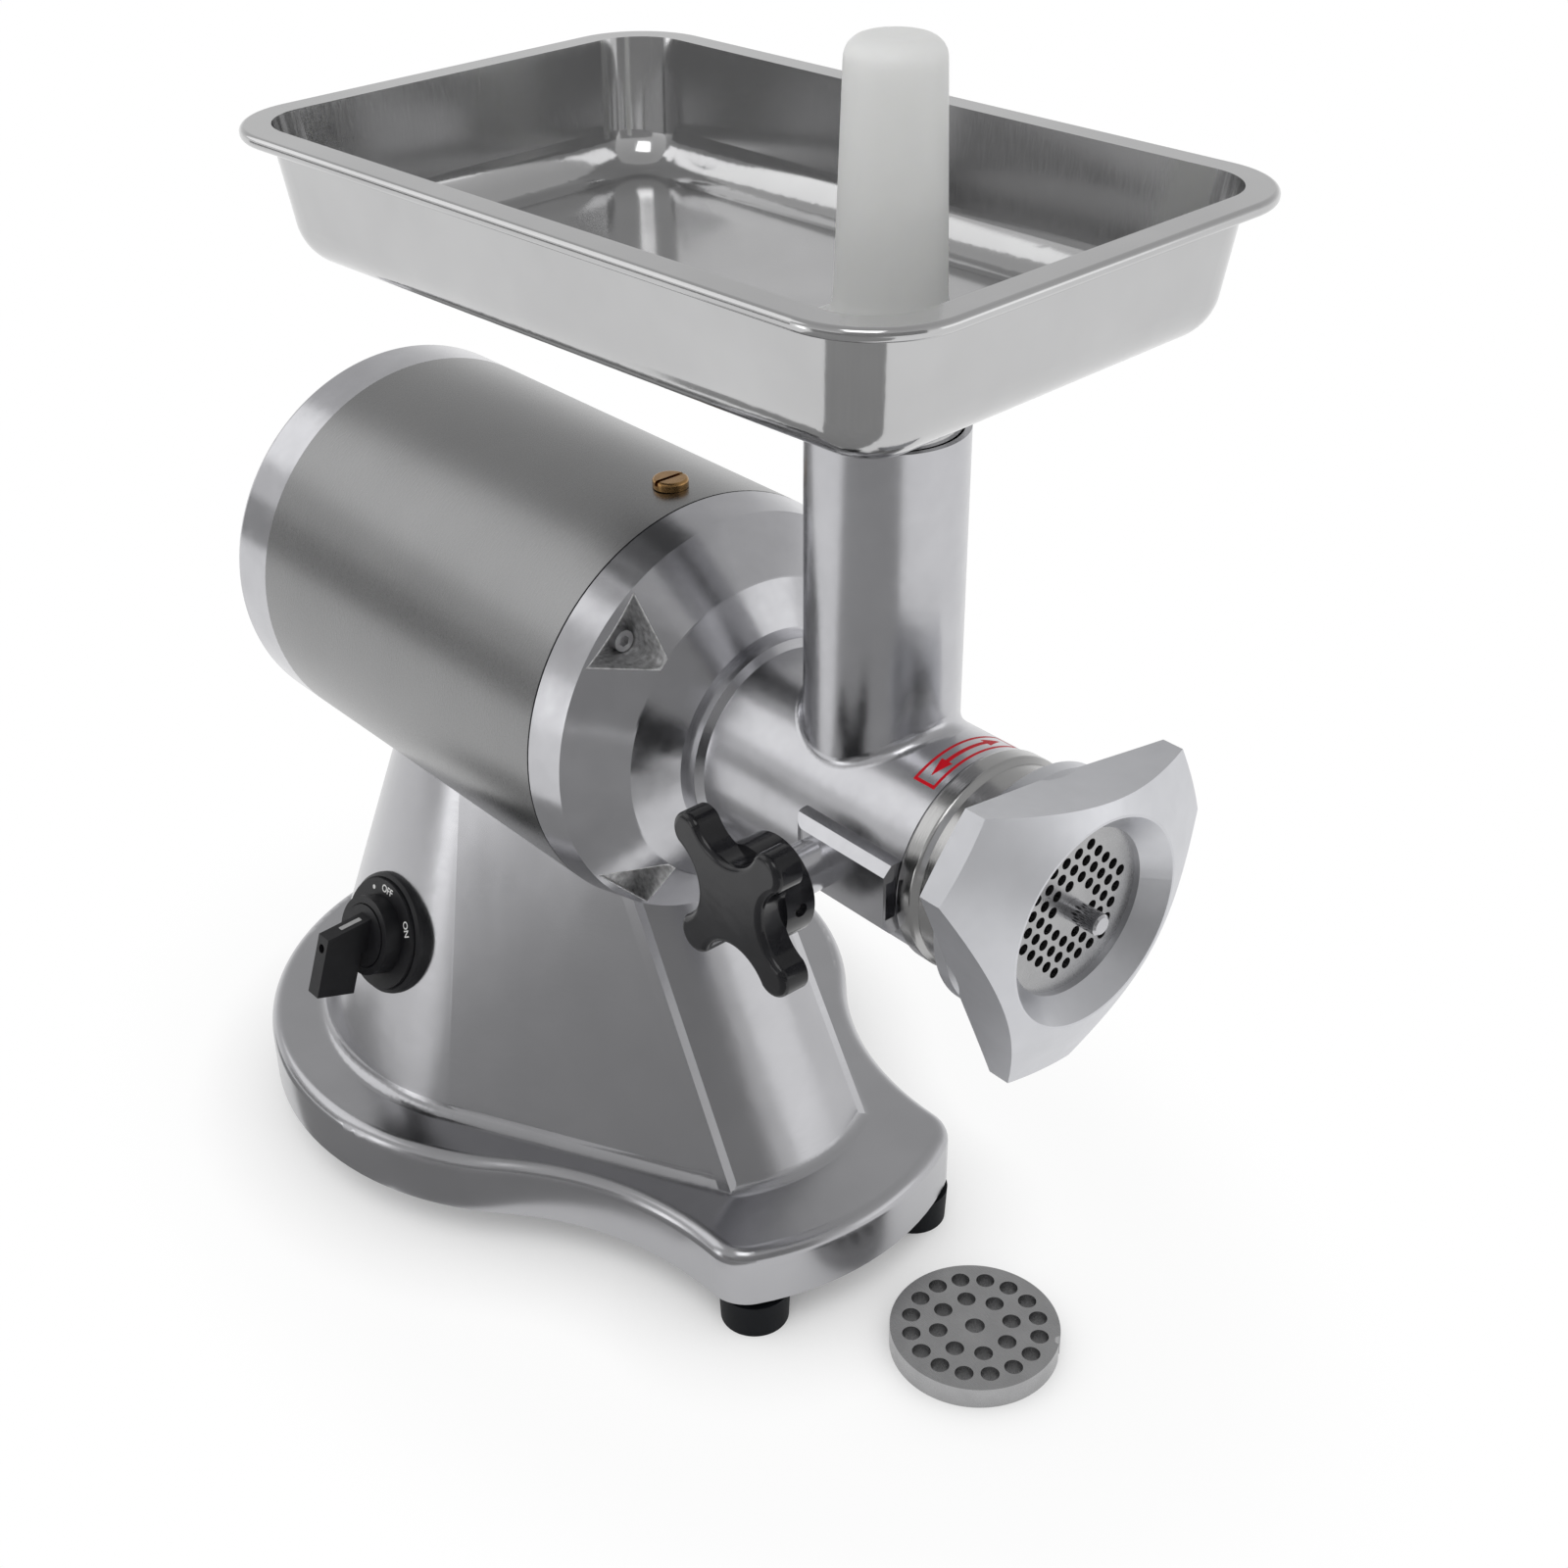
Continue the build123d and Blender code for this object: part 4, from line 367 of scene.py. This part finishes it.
PLASTICS_AND_PRINTS = {
    "black_rubber": dict(
        colour=(0.004, 0.005, 0.007), change=0.25, roughness=0.60, rough_change=0.10,
        cloud=150.0, grain=3500.0, bump=0.20, Specular_IOR_Level=0.15),
    "black_gloss": dict(
        colour=(0.011, 0.011, 0.013), change=0.20, roughness=0.15, rough_change=0.04,
        cloud=120.0, grain=1800.0, bump=0.03, wave=90.0, wave_bump=0.04, Specular_IOR_Level=0.38),
    "black_matte": dict(
        colour=(0.010, 0.010, 0.012), change=0.20, roughness=0.46, rough_change=0.07,
        cloud=200.0, grain=5000.0, bump=0.22, Specular_IOR_Level=0.40),
    "white_plastic": dict(
        colour=(0.83, 0.835, 0.825), change=0.02, roughness=0.42, rough_change=0.06,
        cloud=30.0, grain=700.0, stretch=UPRIGHT, bump=0.05,
        Subsurface_Weight=0.8, Subsurface_Radius=(1.0, 1.0, 0.95), Subsurface_Scale=0.02),
    "grey_plastic": dict(
        colour=(0.42, 0.43, 0.42), change=0.05, roughness=0.45, rough_change=0.07,
        grain=2500.0, bump=0.12),
    "print_white": dict(
        colour=(0.84, 0.84, 0.83), change=0.06, roughness=0.50, rough_change=0.06,
        cloud=900.0, grain=4000.0, bump=0.10),
    "print_grey": dict(
        colour=(0.50, 0.50, 0.50), change=0.08, roughness=0.50, rough_change=0.06,
        cloud=900.0, grain=4000.0, bump=0.10),
    "print_red": dict(
        colour=(0.66, 0.004, 0.016), change=0.06, roughness=0.50, rough_change=0.06,
        cloud=500.0, grain=3000.0, bump=0.06, Specular_IOR_Level=0.2),
}


def make_finishes():
    """The finishes by name: those of the record's slots, of some nodes and of the prints."""
    finishes = {}
    for name, values in METALS.items():
        finishes[name] = finish(name, metallic=1.0, **values)
    for name, values in PLASTICS_AND_PRINTS.items():
        finishes[name] = finish(name, **values)
    return finishes


def dress_nodes(finishes):
    """Each CAD node shows the finish of its own name or of its slot."""
    for subpart in frame["record"]["subparts"]:
        node = subpart["node"]
        for slot in frame["nodes"][node].material_slots:
            slot.material = finishes.get(node, finishes[subpart["material_slot"]])


# Small pieces


def mesh_piece(name, build, body, material):
    """A new piece made by build(bmesh), which moves with the body."""
    work = bmesh.new()
    build(work)
    mesh = bpy.data.meshes.new(name)
    work.to_mesh(mesh)
    work.free()
    piece = bpy.data.objects.new(name, mesh)
    bpy.context.collection.objects.link(piece)
    mesh.materials.append(material)
    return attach(piece, body)


def node_tree(node):
    """A search tree of a CAD node's surface."""
    mesh = frame["nodes"][node].data
    return BVHTree.FromPolygons([v.co for v in mesh.vertices], [p.vertices for p in mesh.polygons])


def switch_frame(height=0.0):
    """Right, up and outward on the legend plate, as columns, at a height from its rear face."""
    lean = (1.0 + SWITCH_LEAN ** 2) ** 0.5
    outward = Vector((-1.0, 0.0, SWITCH_LEAN)) / lean
    upward = Vector((SWITCH_LEAN, 0.0, 1.0)) / lean
    place = Matrix((Vector((0.0, -1.0, 0.0)), upward, outward)).transposed().to_4x4()
    place.translation = SWITCH_PLACE + outward * height
    return place


def legend_place(angle):
    """A place for print on the legend plate at an angle from straight up, its foot towards the middle."""
    turn = Matrix.Rotation(radians(angle), 4, "Z")
    return switch_frame(LEGEND_FACE + PRINT_LIFT) @ turn @ Matrix.Translation((0.0, LEGEND_R, 0.0))


def make_word(word, angle, finishes):
    """A printed word on the legend plate."""
    name = "word_" + word.lower()
    curve = bpy.data.curves.new(name, "FONT")
    curve.body = word
    curve.size = LETTER_HEIGHT
    curve.align_x = "CENTER"
    curve.align_y = "CENTER"
    curve.offset = LETTER_WEIGHT
    text = bpy.data.objects.new(name, curve)
    mesh = bpy.data.meshes.new_from_object(text)
    bpy.data.objects.remove(text)
    piece = bpy.data.objects.new(name, mesh)
    piece.matrix_world = legend_place(angle)
    bpy.context.collection.objects.link(piece)
    mesh.materials.append(finishes["print_white"])
    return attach(piece, "base")


def make_dot(finishes):
    """The small printed dot beside OFF."""
    place = legend_place(DOT_ANGLE)

    def build(work):
        bmesh.ops.create_circle(work, cap_ends=True, segments=DOT_STEPS, radius=DOT_R, matrix=place)

    return mesh_piece("switch_dot", build, "base", finishes["print_white"])


def make_switch_ring(finishes):
    """A matte black ring round the seat of the switch."""
    legend = switch_frame()

    def build(work):
        rounds = []
        for step in range(RING_STEPS):
            angle = 2 * pi * step / RING_STEPS
            spots = [(radius * cos(angle), radius * sin(angle), height) for radius, height in RING_PROFILE]
            rounds.append([work.verts.new(legend @ Vector(spot)) for spot in spots])
        for before, after in zip(rounds, rounds[1:] + rounds[:1]):
            for corner in range(len(RING_PROFILE)):
                work.faces.new((before[corner - 1], before[corner], after[corner], after[corner - 1]))
        bmesh.ops.recalc_face_normals(work, faces=work.faces)

    return mesh_piece("switch_ring", build, "base", finishes["black_matte"])


def make_pointer(finishes):
    """The inlaid line on the switch handle, a thin bar with rounded corners."""
    foot = Vector((0.0, *SLOPE_FOOT))
    run = Vector((0.0, *SLOPE_TIP)) - foot
    along = run.normalized()
    across = Vector((1.0, 0.0, 0.0))
    place = Matrix((across, along, along.cross(across))).transposed().to_4x4()
    place.translation = foot + run * (LINE_FROM + LINE_TO) / 2
    half_length = run.length * (LINE_TO - LINE_FROM) / 2
    bar = switch_frame() @ place

    def build(work):
        corners = []
        for quarter, (side_x, side_y) in enumerate([(1, 1), (-1, 1), (-1, -1), (1, -1)]):
            middle_x = side_x * (LINE_HALF_WIDTH - LINE_CORNER)
            middle_y = side_y * (half_length - LINE_CORNER)
            for step in range(LINE_CORNER_STEPS + 1):
                angle = (quarter + step / LINE_CORNER_STEPS) * pi / 2
                spot = (middle_x + LINE_CORNER * cos(angle), middle_y + LINE_CORNER * sin(angle), 0.0)
                corners.append(work.verts.new(bar @ Vector(spot)))
        face = work.faces.new(corners)
        raised = bmesh.ops.extrude_face_region(work, geom=[face])["geom"]
        tops = [item for item in raised if isinstance(item, bmesh.types.BMVert)]
        lift = bar.to_3x3() @ Vector((0.0, 0.0, LINE_THICKNESS))
        bmesh.ops.translate(work, vec=lift, verts=tops)
        bmesh.ops.recalc_face_normals(work, faces=work.faces)

    return mesh_piece("switch_pointer", build, "switch", finishes["print_grey"])


def make_thread(finishes):
    """The raised thread on the barrel's nose, which fades out at both ends."""
    front_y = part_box("barrel")[0][1]
    steps = round(THREAD_TURNS * THREAD_STEPS)
    root_r = THREAD_R - THREAD_ROOT

    def ring_points(work, step):
        """Four corners of the thread at one step along it."""
        angle = 2 * pi * step / THREAD_STEPS
        middle_y = front_y + THREAD_FROM + THREAD_PITCH * step / THREAD_STEPS
        fade = min(1.0, step / THREAD_RUN_OUT, (steps - step) / THREAD_RUN_OUT)
        top_r = root_r + (THREAD_HEIGHT + THREAD_ROOT) * max(fade, THREAD_END)
        profile = [(-THREAD_FOOT, root_r), (-THREAD_CREST, top_r),
                   (THREAD_CREST, top_r), (THREAD_FOOT, root_r)]
        corners = []
        for share, radius in profile:
            spot = (radius * cos(angle), middle_y + share * THREAD_PITCH, AXIS_Z + radius * sin(angle))
            corners.append(work.verts.new(spot))
        return corners

    def build(work):
        before = ring_points(work, 0)
        work.faces.new(before)
        for step in range(1, steps + 1):
            after = ring_points(work, step)
            for corner in range(4):
                following = (corner + 1) % 4
                work.faces.new((before[corner], before[following], after[following], after[corner]))
            before = after
        work.faces.new(before)
        bmesh.ops.recalc_face_normals(work, faces=work.faces)

    return mesh_piece("nose_thread", build, "head", finishes["barrel_steel"])


def on_neck(tree, angle, y):
    """The point on the neck at an angle from the top, towards -X, a hair above the surface."""
    outward = Vector((-sin(radians(angle)), 0.0, cos(radians(angle))))
    start = Vector((0.0, y, AXIS_Z)) + outward * SIGN_SEARCH_R
    hit = tree.ray_cast(start, -outward)[0]
    return hit + outward * SIGN_LIFT


def sign_strip(work, tree, from_angle, to_angle, from_half, to_half, middle_y):
    """A strip round the neck whose half width goes from one value to another."""
    steps = max(2, round(SIGN_STEPS * abs(to_angle - from_angle) / (2 * SIGN_HALF_ANGLE)))
    before = None
    for step in range(steps + 1):
        share = step / steps
        angle = from_angle + share * (to_angle - from_angle)
        half = from_half + share * (to_half - from_half)
        pair = [work.verts.new(on_neck(tree, angle, middle_y + side * half)) for side in (-1, 1)]
        if before:
            work.faces.new((before[0], before[1], pair[1], pair[0]))
        before = pair


def make_sign(finishes):
    """A framed double arrow that shows which ways the nut turns."""
    tree = node_tree("neck")

    def build(work):
        for side in (-1, 1):
            edge_y = SIGN_Y + side * (SIGN_HALF_WIDTH - SIGN_LINE / 2)
            sign_strip(work, tree, -SIGN_HALF_ANGLE, SIGN_HALF_ANGLE, SIGN_LINE / 2, SIGN_LINE / 2, edge_y)
            inner = side * (SIGN_HALF_ANGLE - SIGN_END_ANGLE)
            sign_strip(work, tree, inner, side * SIGN_HALF_ANGLE, SIGN_HALF_WIDTH, SIGN_HALF_WIDTH, SIGN_Y)
            sign_strip(work, tree, side * ARROW_BASE_ANGLE, side * ARROW_TIP_ANGLE,
                       ARROW_HALF_WIDTH, ARROW_TIP_HALF_WIDTH, SIGN_Y)
        sign_strip(work, tree, -ARROW_BASE_ANGLE, ARROW_BASE_ANGLE,
                   SHAFT_HALF_WIDTH, SHAFT_HALF_WIDTH, SIGN_Y)
        bmesh.ops.recalc_face_normals(work, faces=work.faces)

    sign = mesh_piece("turning_sign", build, "base", finishes["print_red"])
    sign.visible_glossy = False
    return sign


# Studio


def floor_finish():
    """Pale near the machine, where its shadow lies, and plain white farther away."""
    paint = Paint("floor")
    pale = (FLOOR_TONE, FLOOR_TONE, FLOOR_TONE)
    tint = paint.two_tone(paint.noise(FLOOR_CLOUD), pale, FLOOR_CHANGE)
    paint.feed(paint.shader, Base_Color=tint, Roughness=FLOOR_ROUGHNESS, Specular_IOR_Level=FLOOR_SPECULAR)
    rays = paint.add("ShaderNodeLightPath").outputs
    seen = paint.math("MAXIMUM", rays["Is Camera Ray"], rays["Is Glossy Ray"])
    seen_or_through = paint.math("MAXIMUM", seen, rays["Is Transmission Ray"])
    away = paint.vector_math("LENGTH", paint.scaled((1.0 / SHADOW_HALF_X, 1.0 / SHADOW_HALF_Y, 0.0)))
    far = paint.add("ShaderNodeMapRange", interpolation_type="SMOOTHSTEP")
    paint.feed(far, Value=away, From_Min=1.0, From_Max=SHADOW_FADE, To_Min=SHADOW_LIFT)
    open_sky = paint.add("ShaderNodeAmbientOcclusion", samples=SHADOW_SAMPLES)
    paint.feed(open_sky, Distance=SHADOW_REACH)
    lift = paint.math("MULTIPLY", far.outputs["Result"], open_sky.outputs["AO"])
    share = paint.math("MULTIPLY", lift, seen_or_through)
    white = paint.feed(paint.add("ShaderNodeEmission"), Strength=1.0)
    mix = paint.feed(paint.add("ShaderNodeMixShader"), Fac=share)
    paint.put(mix.inputs[1], paint.shader.outputs["BSDF"])
    paint.put(mix.inputs[2], white.outputs["Emission"])
    paint.feed(paint.tree.nodes["Material Output"], Surface=mix.outputs["Shader"])
    return paint.material


def flat_sheet(name, corners, material):
    """A flat object with the given corners."""
    mesh = bpy.data.meshes.new(name)
    mesh.from_pydata(corners, [], [range(len(corners))])
    sheet = bpy.data.objects.new(name, mesh)
    bpy.context.collection.objects.link(sheet)
    mesh.materials.append(material)
    return sheet


def make_floor():
    """A large pale floor."""
    sides = [(-1, -1), (1, -1), (1, 1), (-1, 1)]
    corners = [(x * FLOOR_HALF, y * FLOOR_HALF, 0.0) for x, y in sides]
    floor = flat_sheet("floor", corners, floor_finish())


def make_card(name, corners, tone):
    """A card that only reflections see: a painted reflection that darkens the polished faces."""
    card = flat_sheet(name, corners, finish(name, (tone, tone, tone), **CARD_FINISH))
    card.visible_camera = False
    card.visible_diffuse = False
    card.visible_shadow = False


def make_cards():
    """The lying card and the standing ones, all painted reflections."""
    make_card("grey_reflection_card", [(x, y, LYING_CARD_Z) for x, y in LYING_CARD], LYING_CARD_TONE)
    for name, (first, second, low, high, tone) in STANDING_CARDS.items():
        corners = [(*first, low), (*second, low), (*second, high), (*first, high)]
        make_card(name, corners, tone)


def make_sky():
    """Soft light from all round, paler towards the horizon."""
    world = bpy.data.worlds.new("studio")
    bpy.context.scene.world = world
    world.use_nodes = True
    nodes = world.node_tree.nodes
    links = world.node_tree.links
    coords = nodes.new("ShaderNodeTexCoord")
    parts = nodes.new("ShaderNodeSeparateXYZ")
    ramp = nodes.new("ShaderNodeValToRGB")
    links.new(coords.outputs["Generated"], parts.inputs["Vector"])
    links.new(parts.outputs["Z"], ramp.inputs["Fac"])
    links.new(ramp.outputs["Color"], nodes["Background"].inputs["Color"])
    steps = ramp.color_ramp.elements
    for height in list(SKY)[1:-1]:
        steps.new(height)
    for step, tone in zip(steps, SKY.values()):
        step.color = (tone, tone, tone, 1.0)


def make_panels():
    """Soft light panels that face the machine."""
    for name, (place, width, height, brightness) in SOFT_PANELS.items():
        lamp = bpy.data.lights.new(name, "AREA")
        lamp.shape = "RECTANGLE"
        lamp.size = width
        lamp.size_y = height
        lamp.energy = brightness * pi * width * height
        panel = bpy.data.objects.new(name, lamp)
        panel.location = place
        panel.rotation_euler = (AIM - Vector(place)).to_track_quat("-Z", "Y").to_euler()
        bpy.context.collection.objects.link(panel)


def make_camera():
    """The camera of the photograph."""
    lens = bpy.data.cameras.new("camera")
    lens.lens = CAMERA_LENS
    lens.sensor_width = CAMERA_SENSOR
    lens.clip_start = CAMERA_NEAR
    camera = bpy.data.objects.new("camera", lens)
    yaw = Matrix.Rotation(radians(CAMERA_YAW), 4, "Z")
    pitch = Matrix.Rotation(radians(90 - CAMERA_PITCH), 4, "X")
    roll = Matrix.Rotation(radians(CAMERA_ROLL), 4, "Z")
    camera.matrix_world = Matrix.Translation(CAMERA_PLACE) @ (yaw @ pitch) @ roll
    bpy.context.collection.objects.link(camera)
    bpy.context.scene.camera = camera


finishes = make_finishes()
dress_nodes(finishes)
make_word("OFF", OFF_ANGLE, finishes)
make_word("ON", ON_ANGLE, finishes)
make_dot(finishes)
make_switch_ring(finishes)
make_pointer(finishes)
make_sign(finishes)
make_thread(finishes)
make_floor()
make_cards()
make_sky()
make_panels()
make_camera()
bpy.context.scene.view_settings.view_transform = "Standard"
